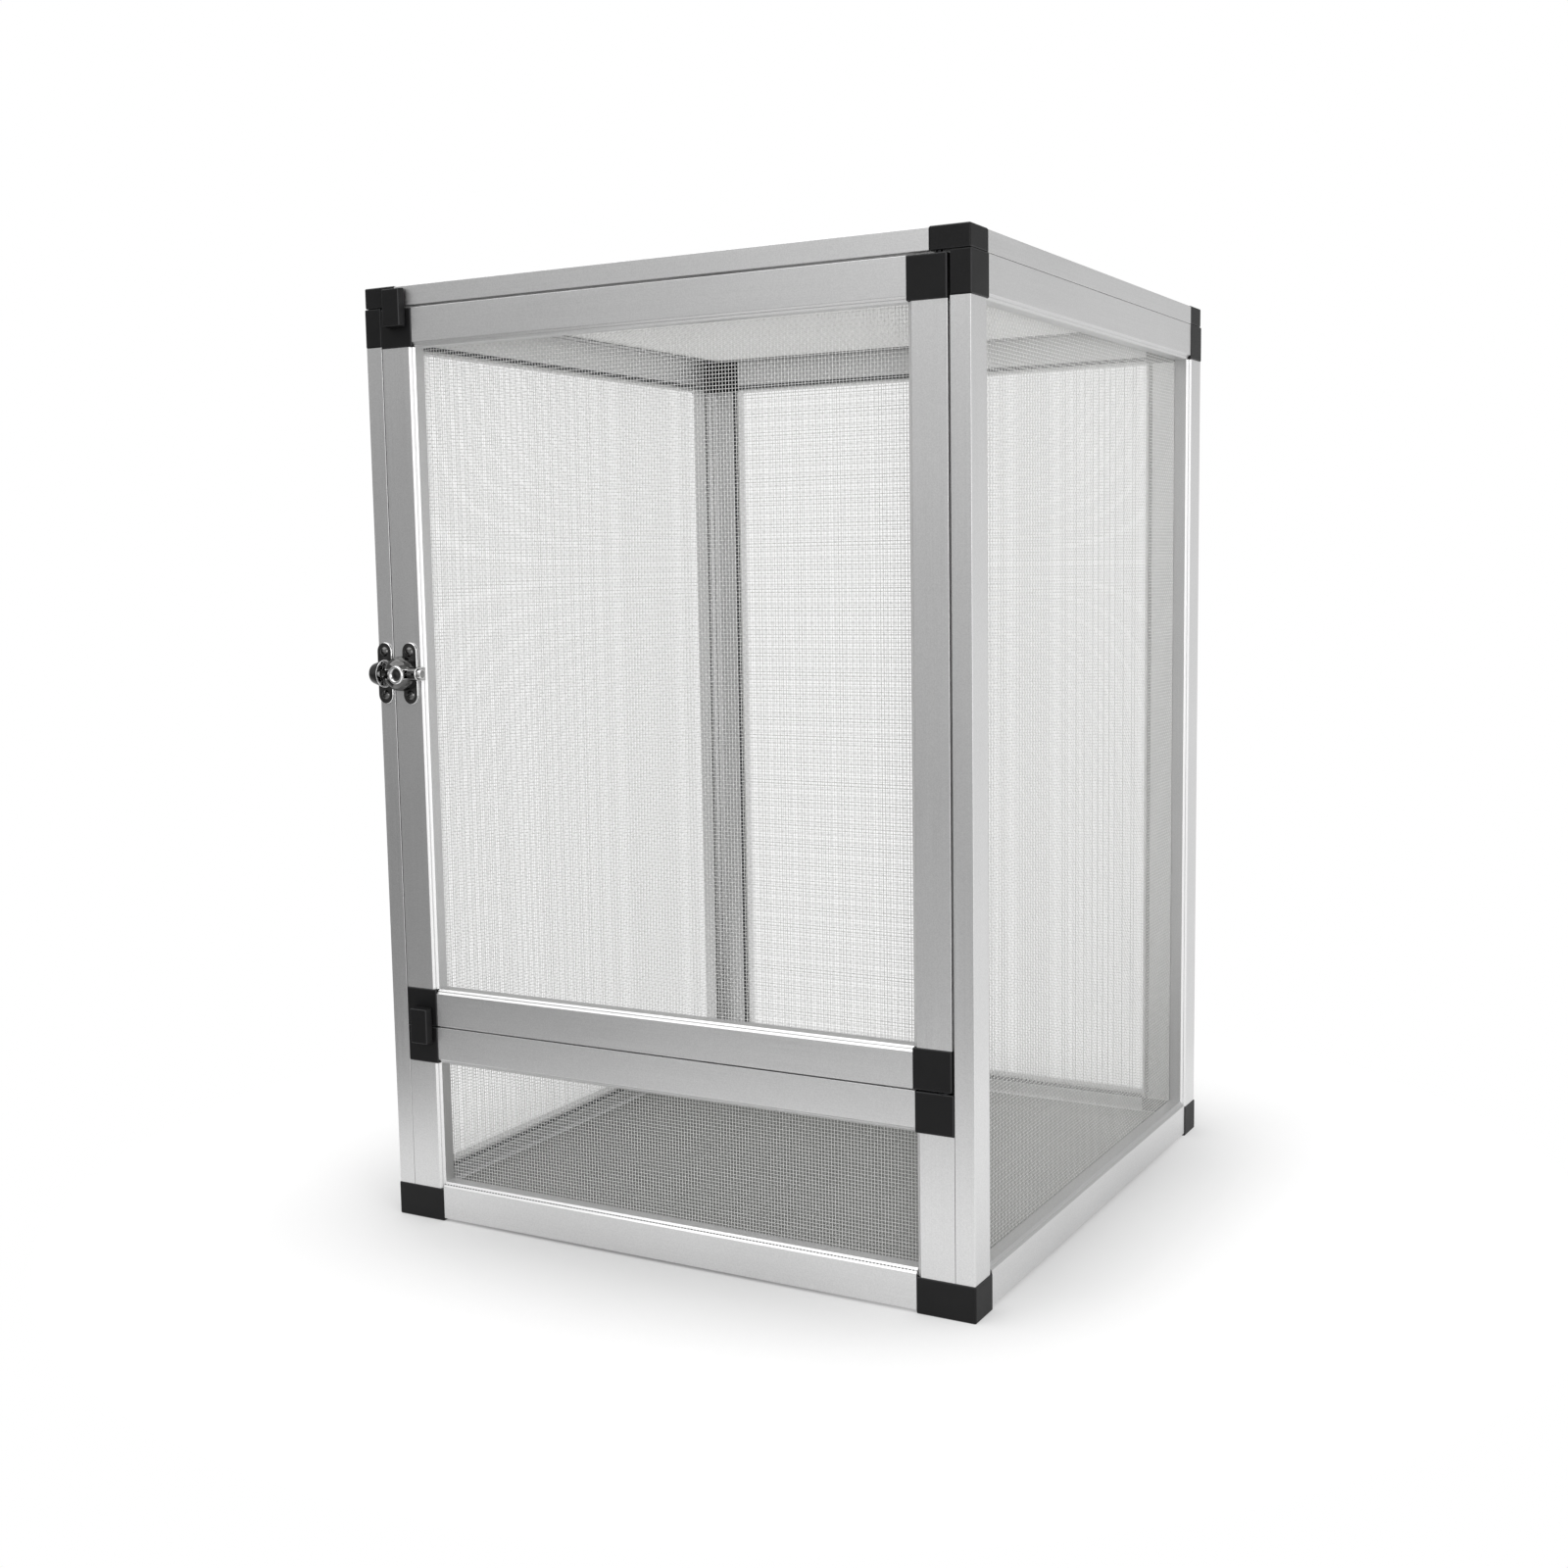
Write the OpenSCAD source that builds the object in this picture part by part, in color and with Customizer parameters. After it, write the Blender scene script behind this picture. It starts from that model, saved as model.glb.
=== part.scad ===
// Mesh reptile cage: six framed mesh panels of hollow aluminium rail with plug-in corner
// connectors, a mesh floor, a hinged front door with stop tabs and a small slide bolt.
// Millimetres, +Z up, front faces -Y, origin on the ground in the middle of the overall box.

/* [Cage] */
// Overall width, over the connectors of the side panels
cage_w = 345; // [300:1:500]
// Overall depth of the panels, over the front and back connectors
cage_d = 345; // [300:1:500]
// Overall height, from the ground to the top connectors
cage_h = 500; // [420:1:700]
// Height of the lower front panel's top edge above the ground
lower_top = 108; // [80:1:170]
// Seam between panels that are fixed to each other
seam_gap = 0.2; // [0.1:0.05:0.3]

/* [Rail] */
// Width of a rail across its face
rail_w = 20; // [18:0.5:24]
// Thickness of a rail from its outer face to its inner face
rail_t = 10; // [9:0.5:12]
// Wall of the hollow rail
rail_wall = 1.2; // [0.8:0.1:1.5]
// Bevel along the opening, on the outer face
rail_bevel = 2.4; // [1:0.1:3]
// Broken edge along the outside of the rail
edge_break = 0.5; // [0.2:0.1:0.8]
// Width of the groove that holds the mesh
groove_w = 2.6; // [2.2:0.1:3.2]
// Depth of the groove that holds the mesh
groove_d = 4; // [3.2:0.1:5]
// Width of the lip between the groove and the opening
lip_w = 1.4; // [1:0.1:2]

/* [Connectors] */
// How far a connector stands proud of the rail's outer face
block_proud = 0.5; // [0.2:0.1:0.8]
// Chamfer along the edges of a connector
block_chamfer = 0.7; // [0.3:0.1:1]
// Length of the tang that plugs into each rail
tang_l = 30; // [15:1:34]
// Clearance around a tang
tang_gap = 0.1; // [0.05:0.05:0.2]
// Height of a corner foot
foot_h = 18; // [14:0.5:19]
// How far a foot reaches below the rails
foot_drop = 1.5; // [1:0.1:3]
// Diameter of the pins that join the panels
pin_d = 3; // [2:0.1:3.4]
// Depth of a joining pin in each of the two panels
pin_in = 7; // [4:0.5:8]

/* [Mesh] */
// Thickness of the mesh
mesh_t = 0.6; // [0.4:0.1:0.8]
// Width of a mesh strand
strand_w = 1.2; // [0.8:0.1:2]
// Spacing of the strands
strand_pitch = 42; // [40:1:80]
// Depth of the mesh hem in the groove
hem_d = 2.6; // [1.5:0.1:3]
// Clearance of the hem and the spline in the groove
fit_gap = 0.05; // [0.02:0.01:0.08]

/* [Floor] */
// Height of the floor mesh's underside above the ground
floor_z = 9.4; // [8:0.2:12]
// Reach of a floor ledge from the wall
ledge_w = 8; // [5:0.5:12]
// Height of a floor ledge
ledge_h = 6.5; // [4:0.5:6.5]
// Thickness of a floor ledge
ledge_t = 1.2; // [0.8:0.1:1.6]
// Clearance of the floor mesh from the walls
floor_gap = 0.3; // [0.2:0.1:0.8]

/* [Door] */
// Gap above the door and on its hinge side
door_gap = 1.2; // [1.1:0.05:1.6]
// Gap on the door's latch side
latch_gap = 0.5; // [0.4:0.05:1.2]
// Gap under the door
sill_gap = 0.8; // [0.7:0.05:1.2]
// Distance of the hinge line from the door's edge
pivot_in = 5; // [4.5:0.1:5.5]
// Distance of the hinge line behind the front face
pivot_back = 3; // [2.5:0.1:3.2]
// Diameter of the hinge pins
pivot_d = 3; // [2.4:0.1:3.4]
// Depth of a hinge pin in the door
pivot_door = 10; // [6:0.5:12]
// Depth of a hinge pin in the fixed frame
pivot_frame = 6; // [4:0.5:7]
// Radial clearance of the hinge pins in the fixed frame
pivot_gap = 0.06; // [0.03:0.01:0.09]
// Diameter of the hinge washer
washer_d = 7; // [6:0.5:8]
// Clearance between the hinge washer and the door
washer_gap = 0.2; // [0.1:0.05:0.3]

/* [Stop tabs] */
// Distance of a tab from the door's latch edge
tab_in = 5; // [4:0.5:6]
// Width of a tab
tab_w = 12; // [9:0.5:12.5]
// Height of a tab, half of it past the door's edge
tab_h = 20; // [14:0.5:20]
// Thickness of a tab
tab_t = 5.1; // [3:0.1:7]
// Clearance between a tab and the fixed frame
tab_gap = 0.4; // [0.3:0.05:0.6]
// Diameter of a tab's peg
peg_d = 4; // [3:0.1:5]
// Length of a tab's peg
peg_l = 6; // [4:0.5:8]

/* [Latch] */
// Height of the bolt above the ground
latch_z = 299; // [260:1:340]
// Diameter of the bolt
bolt_d = 5; // [4:0.1:5.4]
// Length of the bolt
bolt_l = 22; // [21:0.5:25]
// Distance of the bolt's axis in front of the door's face
bolt_off = 5.4; // [5:0.1:6]
// Radial clearance of the bolt in its barrel
bolt_gap = 0.08; // [0.04:0.01:0.09]
// Radial clearance of the bolt in the keeper
keeper_gap = 0.4; // [0.3:0.05:0.6]
// Length of the barrel
barrel_l = 19.6; // [18:0.2:21]
// Distance of the barrel from the door's latch edge
barrel_in = 1.2; // [0.8:0.1:2]
// Radius of the barrel's domed body
dome_r = 9.3; // [8:0.1:9.5]
// Distance of the dome's centre in front of the door's face
dome_off = 2.7; // [2.2:0.1:3.2]
// Distance of the dome's centre from the barrel's open end
dome_in = 5.2; // [4.6:0.1:6]
// Radius of the barrel's neck
neck_r = 3.5; // [3.3:0.1:4]
// Length of the keeper
keeper_l = 8; // [7:0.5:8.8]
// Radius of the keeper at its far end
keeper_r = 5; // [4.6:0.1:5.4]
// Radius of the keeper's mouth
mouth_r = 7.5; // [5.6:0.1:8]
// Distance of the keeper past the middle of its post
keeper_out = 0.5; // [0:0.1:0.6]
// Thickness of the latch plates
plate_t = 1.2; // [0.8:0.1:1.6]
// Radius of the ears at the ends of a plate
ear_r = 4.9; // [3.5:0.1:5]
// Distance between the two screws of a plate
screw_span = 23; // [22:0.5:28]
// Distance of the knob's stem from the bolt's tip
knob_in = 11.8; // [11:0.1:12.5]
// Diameter of the knob's stem
stem_d = 3.8; // [3:0.1:4.2]
// Diameter of the knob
knob_d = 9.6; // [6:0.2:10.4]
// Thickness of the knob
knob_t = 3; // [2:0.1:4]
// Gap between the knob and the dome
knob_gap = 0.5; // [0.4:0.1:1]
// Depth of the dish in the knob's end
dish_d = 0.6; // [0.3:0.1:1]
// Diameter of a screw's shank
screw_d = 2.4; // [2:0.1:2.8]
// Diameter of a screw's head
head_d = 5.2; // [4:0.1:6]
// Height of a screw's head
head_h = 1.6; // [1:0.1:1.8]
// Length of a screw below its head
screw_l = 6; // [4:0.5:7]
// Width of a screw's drive slot
drive_w = 0.8; // [0.5:0.1:1]
// Depth of a screw's drive slot
drive_d = 0.7; // [0.4:0.1:0.8]

/* [Hidden] */
// How far a cut runs past the face that it opens
overrun = 0.5;
// Sides of a round piece
$fn = 24;
aluminium = [0.74, 0.75, 0.76];
black = [0.08, 0.08, 0.09];
chrome = [0.82, 0.83, 0.85];
wire = [0.80, 0.81, 0.80];
rubber = [0.30, 0.31, 0.32];
// Outer faces, inner faces and half widths of the panels
side_x = cage_w / 2 - block_proud;
face_y = cage_d / 2 - block_proud;
inner_x = side_x - rail_t;
inner_y = face_y - rail_t;
panel_x = inner_x - seam_gap;
door_x = inner_x - door_gap;
door_left = inner_x - latch_gap;
// Heights
roof_z = cage_h - block_proud - rail_t;
wall_top = roof_z - seam_gap;
door_low = lower_top + sill_gap;
door_high = roof_z - door_gap;
foot_arm = foot_h - foot_drop;
// Rail section
flat_w = rail_w - groove_w - lip_w;
lip_drop = mesh_t + fit_gap;
hem_at = flat_w + groove_w - mesh_t - fit_gap;
tang_w = flat_w - 2 * rail_wall - 2 * tang_gap;
tang_t = rail_t - 2 * rail_wall - 2 * tang_gap;
spline_w = groove_w - mesh_t - 3 * fit_gap;
// Hinge line and the shift that centres the overall box
pivot_x = door_x - pivot_in;
pivot_y = pivot_back - face_y;
washer_t = sill_gap - washer_gap;
knob_reach = dome_off + dome_r + knob_gap + knob_t;
middle_shift = (knob_reach - block_proud) / 2;
// Latch
keeper_x = rail_t / 2 - side_x - keeper_out;
barrel_x = barrel_in - door_left;
screw_x = barrel_x + barrel_l / 2;
knob_x = barrel_x + knob_in;

// Size of a panel in its own plane, and the height of its lower connectors
function panel_w(panel) =
    panel == "top" ? 2 * side_x :
    panel == "left" || panel == "right" ? 2 * face_y :
    panel == "door" ? door_left + door_x : 2 * panel_x;
function panel_h(panel) =
    panel == "top" ? 2 * face_y :
    panel == "lower" ? lower_top - foot_drop :
    panel == "door" ? door_high - door_low : wall_top - foot_drop;
function on_feet(panel) = panel != "top" && panel != "door";
function low_arm(panel) = on_feet(panel) ? foot_arm : rail_w;

// Puts a panel in the cage: its own X runs along it, Y up it and Z out of the cage
module at_panel(panel) {
    if (panel == "top") translate([-side_x, -face_y, roof_z]) children();
    if (panel == "left") translate([-inner_x, face_y, foot_drop]) rotate([90, 0, -90]) children();
    if (panel == "right") translate([inner_x, -face_y, foot_drop]) rotate([90, 0, 90]) children();
    if (panel == "back") translate([panel_x, inner_y, foot_drop]) rotate([90, 0, 180]) children();
    if (panel == "lower") translate([-panel_x, -inner_y, foot_drop]) rotate([90, 0, 0]) children();
    if (panel == "door") translate([-door_left, -inner_y, door_low]) rotate([90, 0, 0]) children();
}

// Centres the overall box on the origin
module in_cage() {
    translate([0, middle_shift, 0]) children();
}

// The same piece on a panel's far side
module across(panel) {
    translate([panel_w(panel), 0, 0]) mirror([1, 0, 0]) children();
}

// A box with all its edges chamfered
module soft_box(size) {
    intersection() {
        linear_extrude(size.z) soft_square(size.x, size.y);
        translate([0, size.y, 0]) rotate([90, 0, 0]) linear_extrude(size.y) soft_square(size.x, size.z);
        rotate([90, 0, 90]) linear_extrude(size.x) soft_square(size.y, size.z);
    }
}

module soft_square(width, height) {
    far_x = width - block_chamfer;
    far_y = height - block_chamfer;
    polygon([[block_chamfer, 0], [far_x, 0], [width, block_chamfer], [width, far_y],
        [far_x, height], [block_chamfer, height], [0, far_y], [0, block_chamfer]]);
}

// Hollow rail along X: outer edge at Y 0, inner face at Z 0, groove beside the opening
module rail(length) {
    lip_at = flat_w + groove_w;
    rotate([90, 0, 90])
        linear_extrude(length)
            difference() {
                polygon([[edge_break, 0], [flat_w, 0], [flat_w, groove_d], [lip_at, groove_d],
                    [lip_at, lip_drop], [rail_w, lip_drop], [rail_w, rail_t - rail_bevel],
                    [rail_w - rail_bevel, rail_t], [edge_break, rail_t],
                    [0, rail_t - edge_break], [0, edge_break]]);
                translate([rail_wall, rail_wall])
                    square([flat_w - 2 * rail_wall, rail_t - 2 * rail_wall]);
            }
}

module low_rail(panel) {
    translate([rail_w, 0, 0]) rail(panel_w(panel) - 2 * rail_w);
}

module high_rail(panel) {
    translate([panel_w(panel) - rail_w, panel_h(panel), 0])
        rotate([0, 0, 180]) rail(panel_w(panel) - 2 * rail_w);
}

// Upright at the panel's X 0, cleared for the mesh hem where it runs past the low rail
module post(panel) {
    difference() {
        translate([0, panel_h(panel) - rail_w, 0])
            rotate([0, 0, -90]) rail(panel_h(panel) - rail_w - low_arm(panel));
        if (on_feet(panel)) hem_corner();
    }
}

// Room for the corner of the mesh hem
module hem_corner() {
    translate([flat_w, flat_w, -overrun])
        cube([rail_w - flat_w + overrun, rail_w - flat_w, groove_d + overrun]);
}

// The two tangs that plug into a rail and into an upright
module tangs(arm) {
    side = rail_wall + tang_gap;
    translate([rail_w - block_chamfer, side, side]) cube([tang_l + block_chamfer, tang_w, tang_t]);
    translate([side, arm - block_chamfer, side]) cube([tang_w, tang_l + block_chamfer, tang_t]);
}

// Corner connector at a panel's X 0, Y 0
module corner_block() {
    difference() {
        union() {
            soft_box([rail_w, rail_w, rail_t + block_proud]);
            tangs(rail_w);
        }
        hem_corner();
    }
}

// The corner connector at a panel's upper X 0 corner
module high_block(panel) {
    translate([0, panel_h(panel), 0]) mirror([0, 1, 0]) corner_block();
}

// Corner foot at the front right: two blocks in one, with tangs for both panels
module corner_foot() {
    difference() {
        union() {
            translate([panel_x - rail_w, -cage_d / 2, 0])
                soft_box([cage_w / 2 - panel_x + rail_w, cage_d / 2 - inner_y, foot_h]);
            translate([inner_x, -cage_d / 2, 0])
                soft_box([cage_w / 2 - inner_x, cage_d / 2 - face_y + rail_w, foot_h]);
            at_panel("lower") across("lower") tangs(foot_arm);
            at_panel("right") tangs(foot_arm);
        }
        at_panel("lower") across("lower") hem_corner();
        at_panel("right") hem_corner();
    }
}

// Places that the pins join: under the top, beside the back, and beside the lower panel
module pin_places() {
    for (x = [-1, 1]) {
        for (y = [-1, 1])
            translate([x * (side_x - rail_t / 2), y * (face_y - rail_w / 2), roof_z - seam_gap / 2])
                children();
        translate([x * (inner_x - seam_gap / 2), face_y - rail_t / 2, wall_top - rail_w / 2])
            rotate([0, 90, 0]) children();
        translate([x * (inner_x - seam_gap / 2), rail_t / 2 - face_y, lower_top - rail_w / 2])
            rotate([0, 90, 0]) children();
    }
}

module pin_holes() {
    pin_places() cylinder(d = pin_d + 2 * fit_gap, h = 2 * pin_in + seam_gap + overrun, center = true);
}

// The hinge line's two rods, from inside the fixed frame to inside the door
module pivot_rods(radial_gap, end_gap) {
    long = pivot_frame + door_gap + pivot_door + end_gap;
    translate([pivot_x, pivot_y, lower_top - pivot_frame - end_gap])
        cylinder(d = pivot_d + 2 * radial_gap, h = long);
    translate([pivot_x, pivot_y, door_high - pivot_door])
        cylinder(d = pivot_d + 2 * radial_gap, h = long);
}

// Mesh with its hem in the grooves of a panel
module mesh(panel) {
    width = panel_w(panel) - 2 * hem_at;
    height = panel_h(panel) - 2 * hem_at;
    inset = rail_w - hem_at;
    translate([hem_at, hem_at, 0]) {
        net(width, height, inset);
        linear_extrude(hem_d)
            difference() {
                square([width, height]);
                translate([mesh_t, mesh_t]) square([width - 2 * mesh_t, height - 2 * mesh_t]);
            }
    }
}

// Flat net of square gaps with a plain margin
module net(width, height, margin) {
    open_w = width - 2 * margin;
    open_h = height - 2 * margin;
    across_n = max(2, round(open_w / strand_pitch));
    up_n = max(2, round(open_h / strand_pitch));
    gap_w = (open_w - (across_n - 1) * strand_w) / across_n;
    gap_h = (open_h - (up_n - 1) * strand_w) / up_n;
    linear_extrude(mesh_t)
        difference() {
            square([width, height]);
            for (i = [0 : across_n - 1])
                for (j = [0 : up_n - 1])
                    translate([margin + i * (gap_w + strand_w), margin + j * (gap_h + strand_w)])
                        square([gap_w, gap_h]);
        }
}

// Spline strips that hold the hem in a panel's four grooves
module spline(panel) {
    width = panel_w(panel);
    height = panel_h(panel);
    long_x = width - 2 * rail_w;
    long_y = height - 2 * rail_w;
    near = flat_w + fit_gap;
    deep = groove_d - fit_gap;
    for (y = [near, height - near - spline_w])
        translate([rail_w, y, 0]) cube([long_x, spline_w, deep]);
    for (x = [near, width - near - spline_w])
        translate([x, rail_w, 0]) cube([spline_w, long_y, deep]);
}

// Stop tab on the door's upper latch corner, half over the door and half past its edge
module stop_tab() {
    face = rail_t + block_proud;
    translate([tab_in, panel_h("door") - tab_h / 2, face])
        difference() {
            soft_box([tab_w, tab_h, tab_t]);
            translate([-overrun, tab_h / 2, -overrun])
                cube([tab_w + 2 * overrun, tab_h / 2 + overrun, tab_gap + overrun]);
        }
    tab_peg(0);
}

module tab_peg(radial_gap) {
    translate([tab_in + tab_w / 2, panel_h("door") - tab_h / 4, rail_t + block_proud - peg_l])
        cylinder(d = peg_d + 2 * radial_gap, h = peg_l + block_chamfer);
}

// The same piece at the door's lower latch corner
module door_low_corner() {
    translate([0, panel_h("door"), 0]) mirror([0, 1, 0]) children();
}

// Latch frame: X along the bolt, Y up, Z out of the front face
module at_latch(x) {
    translate([x, -face_y, latch_z]) rotate([90, 0, 0]) children();
}

// Places of a latch plate's two screws
module screw_places() {
    for (end = [-1, 1])
        translate([0, end * screw_span / 2, 0]) children();
}

module screw_holes() {
    screw_places()
        translate([0, 0, -screw_l - overrun])
            cylinder(d = screw_d + 2 * fit_gap, h = screw_l + plate_t + 2 * overrun);
}

// Plate with two round ears
module latch_plate() {
    linear_extrude(plate_t) {
        screw_places() circle(r = ear_r);
        square([2 * ear_r, screw_span], center = true);
    }
}

// Half-round body along the bolt, with a square foot down to the plate
module latch_tunnel(start, length, radius) {
    translate([start, 0, bolt_off]) rotate([0, 90, 0]) cylinder(r = radius, h = length);
    translate([start, -radius, 0]) cube([length, 2 * radius, bolt_off]);
}

// Cone that widens towards the keeper's mouth, cut off at the post's face
module keeper_cone() {
    intersection() {
        translate([-keeper_l / 2, 0, bolt_off])
            rotate([0, 90, 0]) cylinder(r1 = keeper_r, r2 = mouth_r, h = keeper_l);
        translate([-keeper_l / 2, -mouth_r, 0])
            cube([keeper_l, 2 * mouth_r, bolt_off + mouth_r]);
    }
}

// Domed body: a ball, cut off at the door's face and at the barrel's open end
module latch_dome() {
    intersection() {
        translate([dome_in - barrel_l / 2, 0, dome_off]) sphere(r = dome_r);
        translate([-barrel_l / 2, -dome_r, 0]) cube([barrel_l, 2 * dome_r, dome_off + dome_r]);
    }
}

module bolt_bore(length, radial_gap) {
    translate([-length / 2 - overrun, 0, bolt_off])
        rotate([0, 90, 0]) cylinder(d = bolt_d + 2 * radial_gap, h = length + 2 * overrun);
}

module screws() {
    screw_places()
        difference() {
            union() {
                translate([0, 0, plate_t - screw_l]) cylinder(d = screw_d, h = screw_l);
                translate([0, 0, plate_t]) screw_head();
            }
            translate([0, 0, plate_t + head_h])
                cube([head_d, drive_w, 2 * drive_d], center = true);
        }
}

// Domed head: the cap of a ball
module screw_head() {
    ball_r = (head_d * head_d / 4 + head_h * head_h) / (2 * head_h);
    intersection() {
        translate([0, 0, head_h - ball_r]) sphere(r = ball_r);
        cylinder(d = head_d, h = head_h);
    }
}

module top_front_rail() { color(aluminium) in_cage() at_panel("top") low_rail("top"); }
module top_back_rail() { color(aluminium) in_cage() at_panel("top") high_rail("top"); }
module top_left_rail() { color(aluminium) in_cage() at_panel("top") post("top"); }
module top_right_rail() { color(aluminium) in_cage() at_panel("top") across("top") post("top"); }

module left_bottom_rail() { color(aluminium) in_cage() at_panel("left") low_rail("left"); }
module left_top_rail() { color(aluminium) in_cage() at_panel("left") high_rail("left"); }
module left_back_post() { color(aluminium) in_cage() at_panel("left") post("left"); }

// Drilled for the keeper's screws and for the lower panel's pin
module left_front_post() {
    color(aluminium) in_cage()
        difference() {
            at_panel("left") across("left") post("left");
            at_latch(keeper_x) screw_holes();
            pin_holes();
        }
}

module right_bottom_rail() { color(aluminium) in_cage() at_panel("right") low_rail("right"); }
module right_top_rail() { color(aluminium) in_cage() at_panel("right") high_rail("right"); }
module right_back_post() { color(aluminium) in_cage() at_panel("right") across("right") post("right"); }

// Drilled for the lower panel's pin
module right_front_post() {
    color(aluminium) in_cage()
        difference() {
            at_panel("right") post("right");
            pin_holes();
        }
}

module back_bottom_rail() { color(aluminium) in_cage() at_panel("back") low_rail("back"); }
module back_top_rail() { color(aluminium) in_cage() at_panel("back") high_rail("back"); }
module back_right_post() { color(aluminium) in_cage() at_panel("back") post("back"); }
module back_left_post() { color(aluminium) in_cage() at_panel("back") across("back") post("back"); }

module lower_bottom_rail() { color(aluminium) in_cage() at_panel("lower") low_rail("lower"); }
module lower_top_rail() { color(aluminium) in_cage() at_panel("lower") high_rail("lower"); }
module lower_left_post() { color(aluminium) in_cage() at_panel("lower") post("lower"); }
module lower_right_post() { color(aluminium) in_cage() at_panel("lower") across("lower") post("lower"); }

module door_bottom_rail() { color(aluminium) in_cage() at_panel("door") low_rail("door"); }
module door_top_rail() { color(aluminium) in_cage() at_panel("door") high_rail("door"); }
module door_hinge_post() { color(aluminium) in_cage() at_panel("door") across("door") post("door"); }

// Drilled for the barrel's screws
module door_latch_post() {
    color(aluminium) in_cage()
        difference() {
            at_panel("door") post("door");
            at_latch(screw_x) screw_holes();
        }
}

// Four corners of the top, bored for the joining pins and the upper hinge pin
module top_blocks() {
    color(black) in_cage()
        difference() {
            at_panel("top") {
                corner_block();
                across("top") corner_block();
                high_block("top");
                across("top") high_block("top");
            }
            pin_holes();
            pivot_rods(pivot_gap, washer_gap);
        }
}

// Upper corners of a fixed wall, bored for the joining pins
module wall_blocks(panel) {
    difference() {
        at_panel(panel) {
            high_block(panel);
            across(panel) high_block(panel);
        }
        pin_holes();
    }
}

module left_blocks() { color(black) in_cage() wall_blocks("left"); }
module right_blocks() { color(black) in_cage() wall_blocks("right"); }
module back_blocks() { color(black) in_cage() wall_blocks("back"); }

// Upper corners of the lower panel, the right one bored for the lower hinge pin
module lower_blocks() {
    color(black) in_cage()
        difference() {
            wall_blocks("lower");
            pivot_rods(pivot_gap, washer_gap);
        }
}

// Latch side corners of the door, bored for the tabs' pegs
module door_stop_blocks() {
    color(black) in_cage() at_panel("door") {
        difference() {
            high_block("door");
            tab_peg(fit_gap);
        }
        door_low_corner()
            difference() {
                high_block("door");
                tab_peg(fit_gap);
            }
    }
}

// Hinge side corners of the door, bored for the hinge pins
module door_pivot_blocks() {
    color(black) in_cage()
        difference() {
            at_panel("door") across("door") {
                corner_block();
                high_block("door");
            }
            pivot_rods(fit_gap, 0);
        }
}

module corner_feet() {
    color(black) in_cage()
        for (x = [0, 1])
            for (y = [0, 1])
                mirror([x, 0, 0]) mirror([0, y, 0]) corner_foot();
}

module joining_pins() {
    color(chrome) in_cage()
        pin_places() cylinder(d = pin_d, h = 2 * pin_in + seam_gap, center = true);
}

module top_mesh() { color(wire) in_cage() at_panel("top") mesh("top"); }
module left_mesh() { color(wire) in_cage() at_panel("left") mesh("left"); }
module right_mesh() { color(wire) in_cage() at_panel("right") mesh("right"); }
module back_mesh() { color(wire) in_cage() at_panel("back") mesh("back"); }
module lower_mesh() { color(wire) in_cage() at_panel("lower") mesh("lower"); }
module door_mesh() { color(wire) in_cage() at_panel("door") mesh("door"); }

module top_spline() { color(rubber) in_cage() at_panel("top") spline("top"); }
module left_spline() { color(rubber) in_cage() at_panel("left") spline("left"); }
module right_spline() { color(rubber) in_cage() at_panel("right") spline("right"); }
module back_spline() { color(rubber) in_cage() at_panel("back") spline("back"); }
module lower_spline() { color(rubber) in_cage() at_panel("lower") spline("lower"); }
module door_spline() { color(rubber) in_cage() at_panel("door") spline("door"); }

// Angle strips along the bottom rails: an upright leg on the wall and a flat leg under the mesh
module floor_ledges() {
    color(aluminium) in_cage() {
        for (x = [0, 1])
            mirror([x, 0, 0])
                translate([inner_x, inner_y, floor_z]) rotate([90, 0, 0]) ledge(2 * inner_y);
        for (y = [0, 1])
            mirror([0, y, 0])
                translate([ledge_w + seam_gap - inner_x, inner_y, floor_z])
                    rotate([90, 0, 90]) ledge(2 * inner_x - 2 * ledge_w - 2 * seam_gap);
    }
}

module ledge(length) {
    linear_extrude(length)
        polygon([[0, 0], [-ledge_w, 0], [-ledge_w, -ledge_t], [-ledge_t, -ledge_t],
            [-ledge_t, -ledge_h], [0, -ledge_h]]);
}

module floor_mesh() {
    width = 2 * inner_x - 2 * floor_gap;
    depth = 2 * inner_y - 2 * floor_gap;
    color(wire) in_cage()
        translate([-width / 2, -depth / 2, floor_z]) net(width, depth, ledge_w - floor_gap);
}

module hinge_pins() { color(chrome) in_cage() pivot_rods(0, 0); }

module hinge_washer() {
    color(chrome) in_cage()
        translate([pivot_x, pivot_y, lower_top])
            difference() {
                cylinder(d = washer_d, h = washer_t);
                translate([0, 0, -overrun])
                    cylinder(d = pivot_d + 2 * pivot_gap, h = washer_t + 2 * overrun);
            }
}

module stop_tabs() {
    color(black) in_cage() at_panel("door") {
        stop_tab();
        door_low_corner() stop_tab();
    }
}

module latch_keeper() {
    color(chrome) in_cage() at_latch(keeper_x)
        difference() {
            union() {
                latch_plate();
                latch_tunnel(-keeper_l / 2, keeper_l, keeper_r);
                keeper_cone();
            }
            bolt_bore(keeper_l, keeper_gap);
            screw_holes();
        }
}

module keeper_screws() { color(chrome) in_cage() at_latch(keeper_x) screws(); }

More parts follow.
